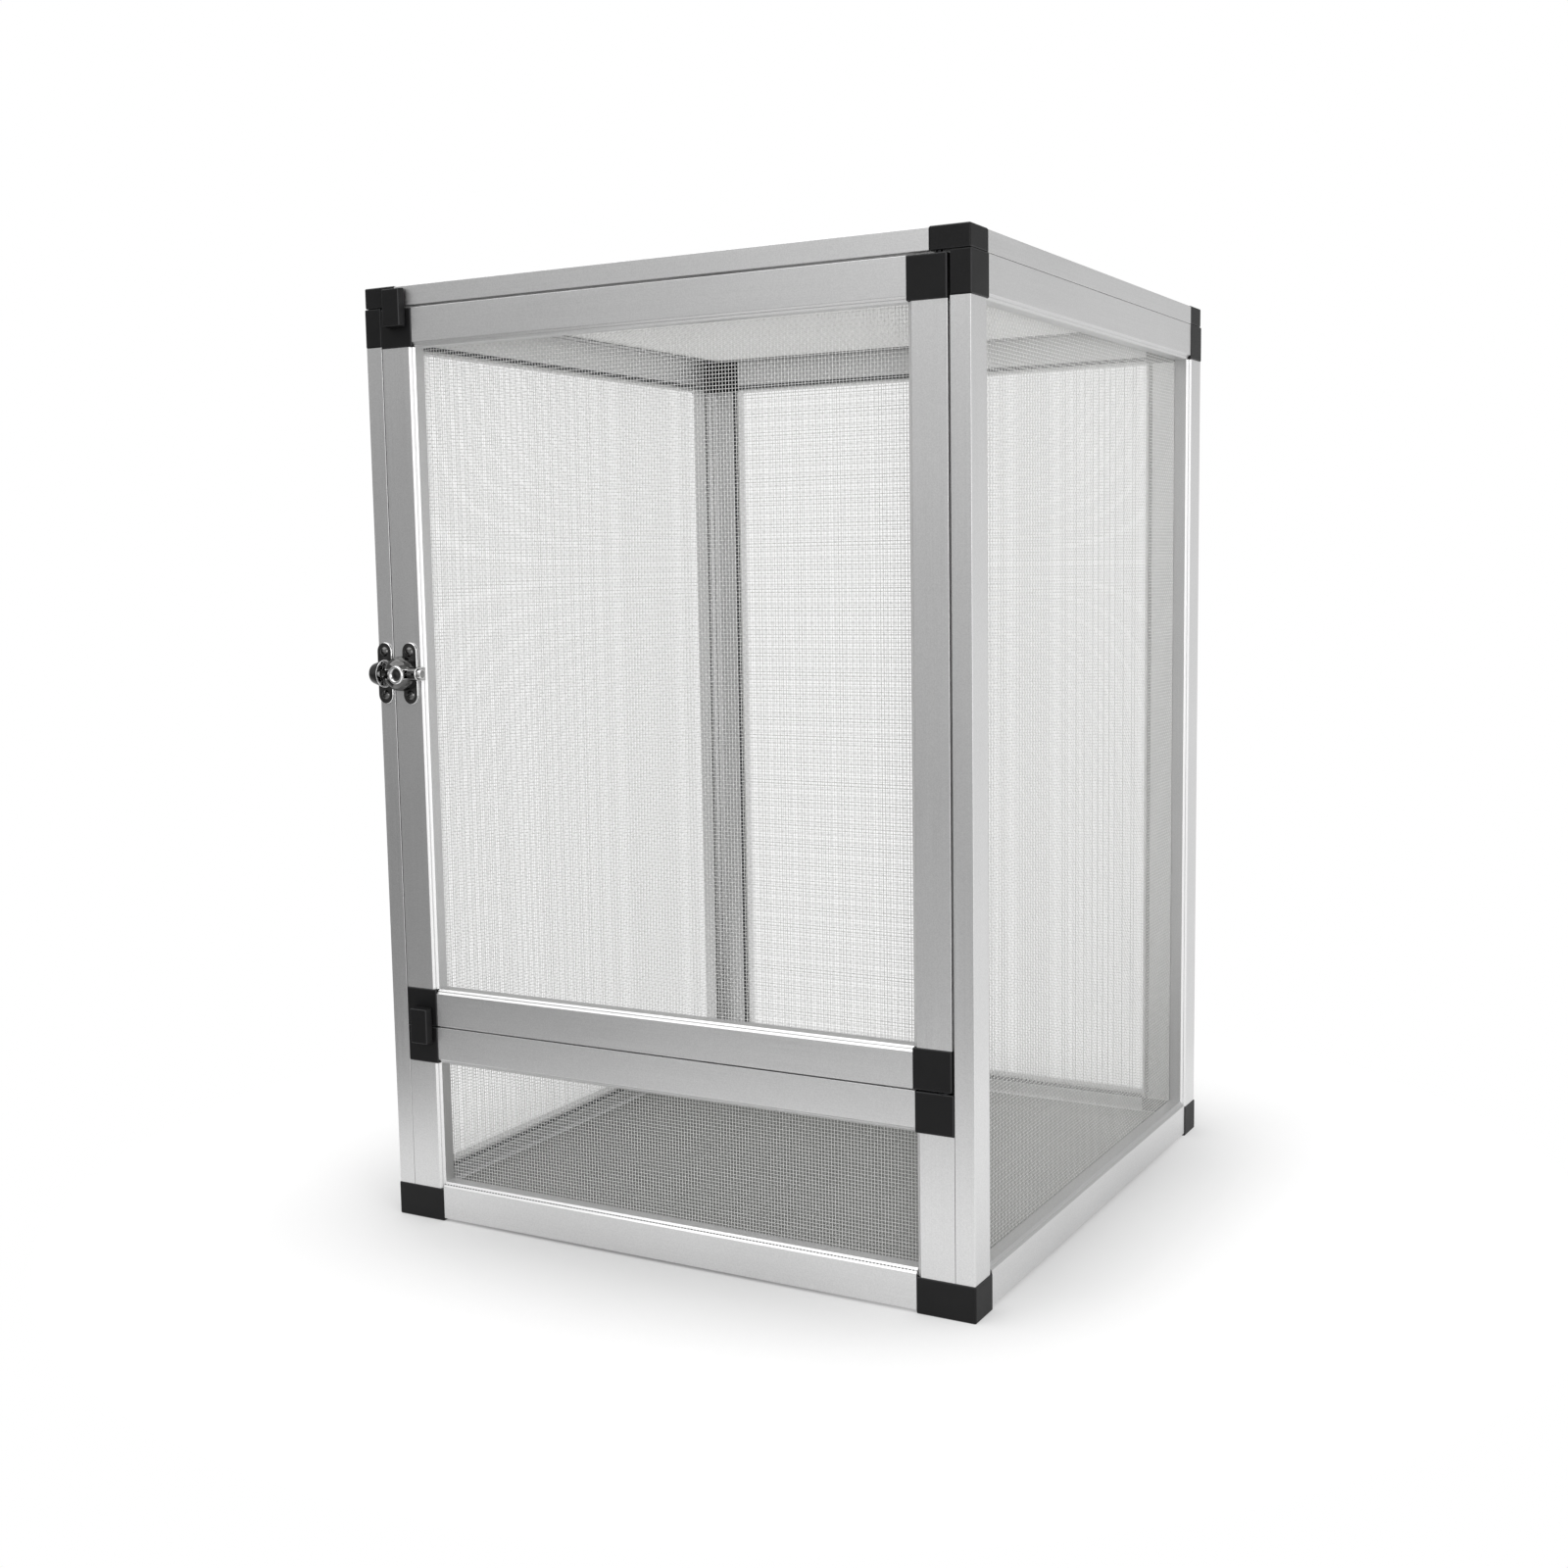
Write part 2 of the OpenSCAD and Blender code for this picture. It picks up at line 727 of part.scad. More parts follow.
// The barrel's slot is open at the latch end, so that the knob's stem can run along it
module latch_barrel() {
    slot_w = stem_d + 2 * keeper_gap;
    slot_l = knob_in + slot_w / 2;
    color(chrome) in_cage() at_latch(screw_x)
        difference() {
            union() {
                latch_plate();
                latch_dome();
                latch_tunnel(dome_in - barrel_l / 2, barrel_l - dome_in, neck_r);
            }
            bolt_bore(barrel_l, bolt_gap);
            screw_holes();
            translate([-barrel_l / 2 - overrun, -slot_w / 2, bolt_off])
                cube([slot_l + overrun, slot_w, dome_off + dome_r - bolt_off + overrun]);
        }
}

module barrel_screws() { color(chrome) in_cage() at_latch(screw_x) screws(); }

// Bolt drawn back: its tip lies at the barrel's end, and it slides towards -X
module latch_bolt() {
    color(chrome) in_cage() {
        at_latch(barrel_x)
            translate([0, 0, bolt_off]) rotate([0, 90, 0]) cylinder(d = bolt_d, h = bolt_l);
        at_latch(knob_x)
            difference() {
                union() {
                    translate([0, 0, bolt_off])
                        cylinder(d = stem_d, h = knob_reach - bolt_off - knob_t / 2);
                    translate([0, 0, knob_reach - knob_t])
                        cylinder(d1 = stem_d, d2 = knob_d, h = knob_t / 2);
                    translate([0, 0, knob_reach - knob_t / 2])
                        cylinder(d = knob_d, h = knob_t / 2);
                }
                translate([0, 0, knob_reach - dish_d])
                    cylinder(d1 = stem_d, d2 = knob_d - stem_d / 2, h = dish_d);
            }
    }
}

top_front_rail();
top_back_rail();
top_left_rail();
top_right_rail();
left_bottom_rail();
left_top_rail();
left_back_post();
left_front_post();
right_bottom_rail();
right_top_rail();
right_front_post();
right_back_post();
back_bottom_rail();
back_top_rail();
back_right_post();
back_left_post();
lower_bottom_rail();
lower_top_rail();
lower_left_post();
lower_right_post();
door_bottom_rail();
door_top_rail();
door_latch_post();
door_hinge_post();
top_blocks();
left_blocks();
right_blocks();
back_blocks();
lower_blocks();
door_stop_blocks();
door_pivot_blocks();
corner_feet();
joining_pins();
top_mesh();
left_mesh();
right_mesh();
back_mesh();
lower_mesh();
door_mesh();
top_spline();
left_spline();
right_spline();
back_spline();
lower_spline();
door_spline();
floor_ledges();
floor_mesh();
hinge_pins();
hinge_washer();
stop_tabs();
latch_keeper();
keeper_screws();
latch_barrel();
barrel_screws();
latch_bolt();
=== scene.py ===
"""Dresses the framed mesh cage for a studio picture.

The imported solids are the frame. Each sub-assembly works out its skins in millimetres with
numpy, and the mesh maker turns them into metres in the place that the solids hold.
"""
import logging
import math
from abc import ABC, abstractmethod
from collections.abc import Mapping, Sequence
from dataclasses import dataclass, field
from enum import Enum
from typing import Any

import bpy
import numpy as np
from mathutils import Matrix, Vector


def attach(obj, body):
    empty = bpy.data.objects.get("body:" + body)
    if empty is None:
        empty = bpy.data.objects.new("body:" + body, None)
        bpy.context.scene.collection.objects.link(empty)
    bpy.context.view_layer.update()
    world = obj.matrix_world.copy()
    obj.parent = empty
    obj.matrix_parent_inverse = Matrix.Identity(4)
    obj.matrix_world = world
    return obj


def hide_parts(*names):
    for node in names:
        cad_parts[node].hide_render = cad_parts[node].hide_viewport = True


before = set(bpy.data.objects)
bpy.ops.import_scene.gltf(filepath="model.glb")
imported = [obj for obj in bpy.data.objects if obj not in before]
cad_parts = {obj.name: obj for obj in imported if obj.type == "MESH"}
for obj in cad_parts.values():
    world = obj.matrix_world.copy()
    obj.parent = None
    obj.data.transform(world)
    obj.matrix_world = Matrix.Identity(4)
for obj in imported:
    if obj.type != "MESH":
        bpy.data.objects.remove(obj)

LOG = logging.getLogger("mesh_cage")
MM = 0.001
UV_NAME = "surface"
# Point attribute that holds each point's weight of wear and of painted highlight on the edges
WEAR_AND_HIGHLIGHT_NAME = "wear_and_highlight"
SHARP_ANGLE = math.radians(34.0)
# Width of the narrow strip beside a rounded edge, which keeps the shading of a flat flat
STRIP = 0.06
# Most that the strip takes of a flat, and of a wall between two rims
FLAT_SHARE, WALL_SHARE = 0.4, 0.3
# Least radius of a corner, and least divisor
LEAST_RADIUS, LEAST = 0.01, 0.001
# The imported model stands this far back, so that its knob and its back face lie evenly about Y 0
SHIFT = 7.5
# Distances of the rails' outer and inner faces from the middle
OUTER, INNER = 172.0, 162.0
# Shifts of the map, so that no two runs share their lines: from rail to rail, from panel to panel,
# for each millimetre of a panel's width, from spline to spline and from ledge to ledge
RAIL_SHIFT, PANEL_SHIFT, WIDTH_SHIFT, SPLINE_SHIFT, LEDGE_SHIFT = 0.37, 1.7, 0.017, 0.11, 0.23

Triple = tuple[float, float, float]
Colour = tuple[float, float, float, float]

WHITE: Colour = (1.0, 1.0, 1.0, 1.0)
RIGHT: Triple = (1.0, 0.0, 0.0)
LEFT: Triple = (-1.0, 0.0, 0.0)
BACK: Triple = (0.0, 1.0, 0.0)
FRONT: Triple = (0.0, -1.0, 0.0)
UP: Triple = (0.0, 0.0, 1.0)


class Body(Enum):
    """The bodies that move against each other."""

    FRAME = "frame"
    DOOR = "door"
    BOLT = "bolt"


class Slot(Enum):
    """The record's material slots."""

    RAIL = "rail_aluminium"
    CONNECTOR = "connector_black"
    MESH = "mesh_wire"
    SPLINE = "spline_rubber"
    PIN = "pin_steel"
    LATCH = "latch_chrome"


class Edge(Enum):
    """The four edges of a panel, seen from outside."""

    LOW = "low"
    HIGH = "high"
    FIRST = "first"
    FAR = "far"


class Corner(Enum):
    """The four corners of a panel, as the share of its width and of its height."""

    LOW_FIRST = (0, 0)
    LOW_FAR = (1, 0)
    HIGH_FIRST = (0, 1)
    HIGH_FAR = (1, 1)


class Signal:
    """A node's output that takes part in sums.

    Each operator adds one Math node and gives its result, so a shader reads as a formula.
    """

    def __init__(self, bench: "NodeBench", socket: Any) -> None:
        """Keeps a node's bench and its output socket, or None where the node has none."""
        self.bench = bench
        self.socket = socket

    def maths(self, operation: str, first: Any, second: Any = 0.0) -> "Signal":
        """Adds one Math node for values or signals, and gives its result."""
        return self.bench.node("ShaderNodeMath", {"operation": operation}, {0: first, 1: second})

    def __add__(self, other: Any) -> "Signal":
        """Sum."""
        return self.maths("ADD", self, other)

    def __sub__(self, other: Any) -> "Signal":
        """Difference."""
        return self.maths("SUBTRACT", self, other)

    def __rsub__(self, other: Any) -> "Signal":
        """Difference from a number on the left."""
        return self.maths("SUBTRACT", other, self)

    def __mul__(self, other: Any) -> "Signal":
        """Product."""
        return self.maths("MULTIPLY", self, other)

    def __pow__(self, other: Any) -> "Signal":
        """Power."""
        return self.maths("POWER", self, other)

    __radd__ = __add__
    __rmul__ = __mul__

    def floor(self) -> "Signal":
        """Whole part."""
        return self.maths("FLOOR", self)

    def sine(self) -> "Signal":
        """Sine of the signal in radians."""
        return self.maths("SINE", self)

    def least(self, other: Any) -> "Signal":
        """The smaller of two values."""
        return self.maths("MINIMUM", self, other)

    def most(self, other: Any) -> "Signal":
        """The larger of two values."""
        return self.maths("MAXIMUM", self, other)

    def clamped(self) -> "Signal":
        """The signal, held between 0 and 1."""
        return self.most(0.0).least(1.0)


class NodeBench:
    """Places nodes in one tree and joins them."""

    def __init__(self, tree: Any) -> None:
        """Clears the node tree of a material or of the world."""
        self.tree = tree
        tree.nodes.clear()

    @staticmethod
    def find(sockets: Any, key: int | str) -> Any:
        """Picks a socket by its number, its identifier or its name.

        Args:
            sockets: A node's inputs or outputs.
            key: The number, identifier or name.

        Returns:
            The socket, or None where the node has none.
        """
        if not len(sockets):
            return None
        if isinstance(key, int):
            return sockets[key]
        return next((s for s in sockets if s.identifier == key), None) or sockets[key]

    def node(
        self,
        kind: str,
        settings: Mapping[str, Any] | None = None,
        inputs: Mapping[int | str, Any] | None = None,
        out: int | str = 0,
    ) -> Signal:
        """Adds a node of any kind.

        Args:
            kind: The node's type.
            settings: Its properties, set before anything else.
            inputs: Values or signals for its inputs.
            out: The output that is wanted.

        Returns:
            The wanted output.
        """
        made = self.tree.nodes.new(kind)
        for name, value in (settings or {}).items():
            setattr(made, name, value)
        for key, value in (inputs or {}).items():
            socket = self.find(made.inputs, key)
            if isinstance(value, Signal):
                self.tree.links.new(value.socket, socket)
            else:
                socket.default_value = value
        return Signal(self, self.find(made.outputs, out))

    def surface_map(self) -> Signal:
        """The piece's own map: along it and round it, in metres."""
        return self.node("ShaderNodeUVMap", {"uv_map": UV_NAME})

    def place(self) -> Signal:
        """The point in the piece's own space, in metres."""
        return self.node("ShaderNodeTexCoord", None, None, "Object")

    def wear_and_highlight(self) -> Signal:
        """Weight of the edges' wear and painted highlight, from 0 to 1."""
        return self.node("ShaderNodeAttribute", {"attribute_name": WEAR_AND_HIGHLIGHT_NAME}, None, "Fac")

    def ray(self, kind: str) -> Signal:
        """Whether a ray is of one kind, as 0 or 1."""
        return self.node("ShaderNodeLightPath", None, None, f"Is {kind} Ray")

    def emission(self, strength: Any) -> Signal:
        """White light of a strength."""
        return self.node("ShaderNodeEmission", None, {"Color": WHITE, "Strength": strength})

    def stretched(self, vector: Signal, factors: Triple) -> Signal:
        """A vector times a factor on each axis."""
        inputs = {0: vector, 1: factors}
        return self.node("ShaderNodeVectorMath", {"operation": "MULTIPLY"}, inputs)

    def noise(self, vector: Signal, scale: float, detail: float = 2.0) -> Signal:
        """Soft noise from -0.5 to 0.5, with so many cells per metre and so many octaves."""
        inputs = {"Vector": vector, "Scale": scale, "Detail": detail}
        return self.node("ShaderNodeTexNoise", None, inputs) - 0.5

    def parts(self, vector: Signal) -> tuple[Signal, Signal, Signal]:
        """The three parts of a vector."""
        split = self.node("ShaderNodeSeparateXYZ", None, {0: vector}).socket.node
        return tuple(Signal(self, socket) for socket in split.outputs)

    def blend(self, share: Any, first: Any, second: Any) -> Signal:
        """Mixes two colours.

        Args:
            share: Share of the second colour.
            first: The first colour.
            second: The second colour.

        Returns:
            The mixed colour.
        """
        return self.node(
            "ShaderNodeMix",
            {"data_type": "RGBA"},
            {"Factor_Float": share, "A_Color": first, "B_Color": second},
            "Result_Color",
        )

    def relief(self, height: Signal, strength: float, depth: float) -> Signal:
        """The normal, bent by a height of which 1 stands for the depth in metres."""
        inputs = {"Strength": strength, "Distance": depth, "Height": height}
        return self.node("ShaderNodeBump", None, inputs)

    def coat(self, inputs: Mapping[int | str, Any]) -> None:
        """Closes a material with one surface shader that has these inputs."""
        shader = self.node("ShaderNodeBsdfPrincipled", None, inputs)
        self.node("ShaderNodeOutputMaterial", None, {"Surface": shader})


@dataclass(frozen=True)
class Finish(ABC):
    """A surface treatment that paints one material.

    In the finishes, a field named after a mark, such as grain, cloud or stain, gives its cells per
    metre, and relief gives the relief's strength and its depth in metres.

    Attributes:
        title: The material's name.
        slot: The record's slot that it belongs to; not used.
    """

    title: str
    slot: Slot

    def material(self) -> bpy.types.Material:
        """Paints the finish's material on first use.

        Returns:
            The material.
        """
        found = bpy.data.materials.get(self.title)
        if found is None:
            found = bpy.data.materials.new(self.title)
            found.use_nodes = True
            self.paint(NodeBench(found.node_tree))
        return found

    @abstractmethod
    def paint(self, bench: NodeBench) -> None:
        """Paints the material.

        Args:
            bench: The bench of the material's tree.
        """


@dataclass(frozen=True)
class SatinAluminium(Finish):
    """Drawn rail with a satin anodised skin: long draw lines, fine grain, and edges made bright
    partly as wear and partly as painted highlight.

    Attributes:
        dark: Colour of the dull places.
        light: Colour of the bright ones.
        roughness: Its middle roughness.
        lines: Draw lines per metre, along the rail and across it.
        reflection_spacing: Spacing of the dark beads in the scored line, a painted reflection of
            the mesh's strands, in metres, or zero for none.
        row: Place of the scored line round the rail, and half the width of a painted bead, in
            metres.
        swell: Middle of a bead's wave, and its swing.
        reflection_dark: Colour of a bead of painted reflection.
    """

    dark: Colour = (0.66, 0.66, 0.66, 1.0)
    light: Colour = (0.82, 0.82, 0.82, 1.0)
    roughness: float = 0.40
    lines: Triple = (9.0, 2400.0, 1.0)
    cloud: float = 11.0
    grain: float = 1700.0
    relief: tuple[float, float] = (0.16, 0.00012)
    reflection_spacing: float = 0.0
    row: tuple[float, float] = (0.03587, 0.00055)
    swell: tuple[float, float] = (0.35, 0.65)
    reflection_dark: Colour = (0.01, 0.01, 0.011, 1.0)

    def reflected_mesh(self, bench: NodeBench, colour: Signal) -> Signal:
        """Paints a row of dark beads in the scored line as a painted reflection of the mesh's
        strands: a sine along it, fading to its sides.

        Args:
            bench: The bench of the material's tree.
            colour: The metal's colour.

        Returns:
            The colour with its painted reflection.
        """
        along, across, _ = bench.parts(bench.surface_map())
        aside = (across - self.row[0]) * (1.0 / self.row[1])
        wave = (along * (2.0 * math.pi / self.reflection_spacing)).sine()
        reflected_bead = self.swell[0] + wave * self.swell[1]
        # Painted reflection of the mesh's strands: dark beads along the scored line
        return bench.blend((1.0 - aside * aside).most(0.0) * reflected_bead.most(0.0), colour, self.reflection_dark)

    def paint(self, bench: NodeBench) -> None:
        """Draw lines follow the rail's own map, grain and cloud its place.

        Args:
            bench: The bench of the material's tree.
        """
        place = bench.place()
        drawn = bench.noise(bench.stretched(bench.surface_map(), self.lines), 1.0, 3.0)
        cloud = bench.noise(place, self.cloud)
        grain = bench.noise(place, self.grain, 1.0)
        wear_and_highlight = bench.wear_and_highlight()
        # The edges' weight lightens the colour: partly wear, partly a painted highlight along the
        # edges
        tone = 0.45 + drawn * 0.55 + cloud * 0.5 + grain * 1.1 + wear_and_highlight * 0.4
        colour = bench.blend(tone, self.dark, self.light)
        bench.coat({
            "Base Color": self.reflected_mesh(bench, colour) if self.reflection_spacing else colour,
            "Metallic": 1.0,
            "Roughness": self.roughness + drawn * 0.14 + grain * 0.08 - wear_and_highlight * 0.08,
            "Normal": bench.relief(drawn * 0.6 + grain * 0.4, *self.relief),
        })


@dataclass(frozen=True)
class MouldedBlack(Finish):
    """Black moulded plastic with a fine eroded grain, and edges greyed partly as wear and partly
    as painted highlight.
    """

    dark: Colour = (0.003, 0.003, 0.0032, 1.0)
    light: Colour = (0.045, 0.045, 0.047, 1.0)
    roughness: float = 0.50
    specular: float = 0.23
    grain: float = 2800.0
    cloud: float = 60.0
    relief: tuple[float, float] = (0.55, 0.00012)

    def paint(self, bench: NodeBench) -> None:
        """Grain a third of a millimetre wide, with a broad cloud of handling marks.

        Args:
            bench: The bench of the material's tree.
        """
        place = bench.place()
        grain = bench.noise(place, self.grain)
        cloud = bench.noise(place, self.cloud, 3.0)
        wear_and_highlight = bench.wear_and_highlight()
        # The edges' weight lightens them: partly wear, partly a painted highlight on the edges of
        # blocks and tabs
        tone = 0.07 + grain * 0.25 + cloud * 0.16 + wear_and_highlight * 0.6
        bench.coat({
            "Base Color": bench.blend(tone, self.dark, self.light),
            "Roughness": self.roughness + cloud * 0.2 + grain * 0.12 - wear_and_highlight * 0.1,
            "Specular IOR Level": self.specular,
            "Normal": bench.relief(grain, *self.relief),
        })


@dataclass(frozen=True)
class MeshWire(Finish):
    """Woven wire of straight strands: each strand gets a painted highlight where it rides over and
    painted shade where it dives.
    """

    under_shade: Colour = (0.60, 0.60, 0.59, 1.0)
    over_highlight: Colour = (0.86, 0.86, 0.85, 1.0)
    roughness: float = 0.45
    metal: float = 0.2
    fleck: float = 420.0
    relief: tuple[float, float] = (0.5, 0.0002)

    def paint(self, bench: NodeBench) -> None:
        """The ride is the sine of the cell count plus the strand's number, times a half turn.

        Args:
            bench: The bench of the material's tree.
        """
        along, number, _ = bench.parts(bench.surface_map())
        # The ride paints a highlight where a strand rides over and shade where it dives, and also
        # bends the normal
        ride = ((along + number.floor()) * math.pi).sine()
        fleck = bench.noise(bench.place(), self.fleck)
        bench.coat({
            "Base Color": bench.blend(0.5 + ride * 0.3 + fleck * 0.8, self.under_shade, self.over_highlight),
            "Metallic": self.metal,
            "Roughness": self.roughness + fleck * 0.2,
            "Normal": bench.relief(ride * 0.5, *self.relief),
        })


@dataclass(frozen=True)
class RibbedRubber(Finish):
    """Dark spline with ribs across it and a dusting in the hollows."""

    dark: Colour = (0.030, 0.031, 0.033, 1.0)
    dusty: Colour = (0.115, 0.118, 0.12, 1.0)
    roughness: float = 0.72
    rib: float = 0.0018
    dust: float = 260.0
    relief: tuple[float, float] = (0.8, 0.0003)

    def paint(self, bench: NodeBench) -> None:
        """The rib is the sine of the length over the rib's spacing.

        Args:
            bench: The bench of the material's tree.
        """
        along, _, _ = bench.parts(bench.surface_map())
        rib = (along * (2.0 * math.pi / self.rib)).sine()
        dust = bench.noise(bench.place(), self.dust, 3.0)
        bench.coat({
            "Base Color": bench.blend(0.4 - rib * 0.35 + dust * 1.2, self.dark, self.dusty),
            "Roughness": self.roughness + dust * 0.2,
            "Normal": bench.relief(rib * 0.5, *self.relief),
        })


@dataclass(frozen=True)
class TurnedSteel(Finish):
    """Plain steel pins with fine lathe rings."""

    dark: Colour = (0.34, 0.34, 0.35, 1.0)
    light: Colour = (0.58, 0.58, 0.59, 1.0)
    roughness: float = 0.36
    rings: Triple = (40.0, 40.0, 5200.0)
    stain: float = 160.0
    relief: tuple[float, float] = (0.2, 0.0001)

    def paint(self, bench: NodeBench) -> None:
        """Rings are noise stretched flat along Z, and stains are a slow cloud.

        Args:
            bench: The bench of the material's tree.
        """
        place = bench.place()
        rings = bench.noise(bench.stretched(place, self.rings), 1.0)
        stain = bench.noise(place, self.stain, 3.0)
        bench.coat({
            "Base Color": bench.blend(0.5 + rings * 0.7 + stain * 0.8, self.dark, self.light),
            "Metallic": 1.0,
            "Roughness": self.roughness + stain * 0.25,
            "Normal": bench.relief(rings, *self.relief),
        })


@dataclass(frozen=True)
class PolishedChrome(Finish):
    """Plated metal with faint smears and a slightly wavy skin; its base colour is kept dark as a
    painted dark reflection, and its rims get painted highlights.
    """

    # dark stands in for the dark reflections of the room, a painted reflection; light is the
    # colour of the painted highlights on the rims
    dark: Colour = (0.08, 0.079, 0.078, 1.0)
    light: Colour = (0.96, 0.96, 0.96, 1.0)
    roughness: float = 0.09
    smoothest: float = 0.04
    smear: float = 240.0
    wave: float = 520.0
    relief: tuple[float, float] = (0.12, 0.0002)

    def paint(self, bench: NodeBench) -> None:
        """Smears raise the roughness in patches, and the edges' weight of wear and painted
        highlight makes the rims bright.

        Args:
            bench: The bench of the material's tree.
        """
        place = bench.place()
        smear = bench.noise(place, self.smear, 3.0)
        wave = bench.noise(place, self.wave, 1.0)
        wear_and_highlight = bench.wear_and_highlight()
        # Painted highlight: the rims' weight lifts the dark base towards the light colour
        tone = 0.04 + smear * 0.2 + wear_and_highlight * 0.9
        bench.coat({
            "Base Color": bench.blend(tone, self.dark, self.light),
            "Metallic": 1.0,
            "Roughness": (self.roughness + smear * 0.14).most(self.smoothest),
            "Normal": bench.relief(wave, *self.relief),
        })


ALUMINIUM = SatinAluminium("satin_aluminium", Slot.RAIL)
# Aluminium with a painted reflection of the mesh's strands in its scored line
MESH_REFLECTION_ALUMINIUM = SatinAluminium("mesh_reflection_aluminium", Slot.RAIL, reflection_spacing=0.0019)
BLACK = MouldedBlack("moulded_black", Slot.CONNECTOR)
WIRE = MeshWire("woven_wire", Slot.MESH)
# The floor's wire: a darker copy of the woven wire, darker wire and partly painted shade under the
# cage
DARK_AND_SHADED_FLOOR_WIRE = MeshWire(
    "dark_and_shaded_floor_wire", Slot.MESH, (0.13, 0.133, 0.122, 1.0), (0.33, 0.337, 0.312, 1.0)
)
EDGING = SatinAluminium("folded_edging", Slot.MESH)
RUBBER = RibbedRubber("ribbed_rubber", Slot.SPLINE)
STEEL = TurnedSteel("turned_steel", Slot.PIN)
# Steel made near black: painted shade for the hinge parts that show only in the pivot gaps
GAP_SHADE_STEEL = TurnedSteel(
    "gap_shade_steel", Slot.PIN, (0.012, 0.012, 0.013, 1.0), (0.035, 0.035, 0.037, 1.0)
)
CHROME = PolishedChrome("polished_chrome", Slot.LATCH)


@dataclass
class Skin:
    """One surface in millimetres.

    Attributes:
        points: Positions, one row each.
        faces: Index arrays, one for each run of faces with the same number of corners.
        maps: For each index array, the map position of every face corner.
        wear_and_highlight: Weight of wear and painted highlight at every point.
    """

    points: np.ndarray
    faces: list[np.ndarray]
    maps: list[np.ndarray]
    wear_and_highlight: np.ndarray


@dataclass(frozen=True)
class Placement:
    """A right-handed set of axes in the cage.

    Attributes:
        origin: Where the local zero lies, in millimetres.
        along: Direction of the local X.
        up: Direction of the local Y.
        out: Direction of the local Z.
    """

    origin: Triple
    along: Triple
    up: Triple
    out: Triple

    def points(self, local: np.ndarray) -> np.ndarray:
        """Local points in the cage: the origin plus each coordinate times its axis."""
        return np.asarray(self.origin) + local @ np.array([self.along, self.up, self.out])

    def skin(self, made: Skin) -> Skin:
        """The same skin, placed in the cage."""
        return Skin(self.points(made.points), made.faces, made.maps, made.wear_and_highlight)

    def turned(self, quarters: int, at: tuple[float, float] = (0.0, 0.0)) -> "Placement":
        """Turns the axes about the outward one by quarter turns.

        Args:
            quarters: The number of quarter turns, anticlockwise seen from outside.
            at: The local place of the new zero.

        Returns:
            The turned axes.
        """
        axes = np.array([self.along, self.up])
        cosine, sine = [(1, 0), (0, 1), (-1, 0), (0, -1)][quarters % 4]
        along = cosine * axes[0] + sine * axes[1]
        up = cosine * axes[1] - sine * axes[0]
        origin = self.points(np.array([at[0], at[1], 0.0]))
        return Placement(tuple(origin), tuple(along), tuple(up), self.out)


FRONT_AXES = (RIGHT, UP, FRONT)
LEVEL_AXES = (RIGHT, BACK, UP)
GROUND = Placement((0.0, SHIFT, 0.0), *LEVEL_AXES)


def turn_angles(sides: int) -> np.ndarray:
    """Evenly spaced angles of a full turn, in radians."""
    return np.arange(sides) * (2.0 * math.pi / sides)


def edge_directions(corners: np.ndarray) -> np.ndarray:
    """Unit directions of the edges that arrive at each corner of a polygon."""
    step = corners - np.roll(corners, 1, axis=-2)
    return step / np.linalg.norm(step, axis=-1, keepdims=True)


def corner_turns(corners: np.ndarray) -> np.ndarray:
    """Signed angle by which a polygon turns at each corner, left turns above zero.

    Args:
        corners: The polygon's corners in the last two axes.

    Returns:
        The angles in radians.
    """
    before = edge_directions(corners)
    after = np.roll(before, -1, axis=-2)
    cross = before[..., 0] * after[..., 1] - before[..., 1] * after[..., 0]
    return np.arctan2(cross, np.sum(before * after, axis=-1))


def rounded_outline(corners: np.ndarray, radii: np.ndarray, steps: int) -> np.ndarray:
    """Rounds each corner of a polygon with an arc between two points on its flats.

    The arc starts r * tan(turn / 2) before the corner, and its points are the centre plus
    r * (cos a, sin a), with a running over the turn. The two more points lie a strip's width
    past its ends.

    Args:
        corners: The polygon's corners in the last two axes, anticlockwise.
        radii: Radius of each corner.
        steps: Steps of each arc.

    Returns:
        The rounded outline, with all its points in the second-last axis.
    """
    before = edge_directions(corners)
    after = np.roll(before, -1, axis=-2)
    turn = corner_turns(corners)
    tangent = radii * np.tan(np.abs(turn) / 2)
    left = np.stack([-before[..., 1], before[..., 0]], axis=-1)
    start = corners - before * tangent[..., None]
    centre = start + left * (radii * np.sign(turn))[..., None]
    spoke = start - centre
    angle = np.arctan2(spoke[..., 1], spoke[..., 0])[..., None]
    angle = angle + turn[..., None] * np.linspace(0.0, 1.0, steps + 1)
    arc = np.stack([np.cos(angle), np.sin(angle)], axis=-1) * radii[..., None, None]
    points = centre[..., None, :] + arc
    edge = np.linalg.norm(corners - np.roll(corners, 1, axis=-2), axis=-1)
    free = edge - tangent - np.roll(tangent, 1, axis=-1)
    strip = np.clip(FLAT_SHARE * free, 0.0, STRIP)[..., None]
    first = points[..., 0, :] - before * strip
    last = points[..., -1, :] + after * np.roll(strip, -1, axis=-2)
    points = np.concatenate([first[..., None, :], points, last[..., None, :]], axis=-2)
    return points.reshape(*corners.shape[:-2], -1, 2)


def edge_weights(weights: np.ndarray, steps: int) -> np.ndarray:
    """Weights of wear and painted highlight of a rounded outline: w sin(pi t) over each corner's
    arc, 0 on flats.
    """
    share = np.clip(np.arange(-1, steps + 2) / steps, 0.0, 1.0)
    return np.outer(weights, np.sin(math.pi * share)).ravel()


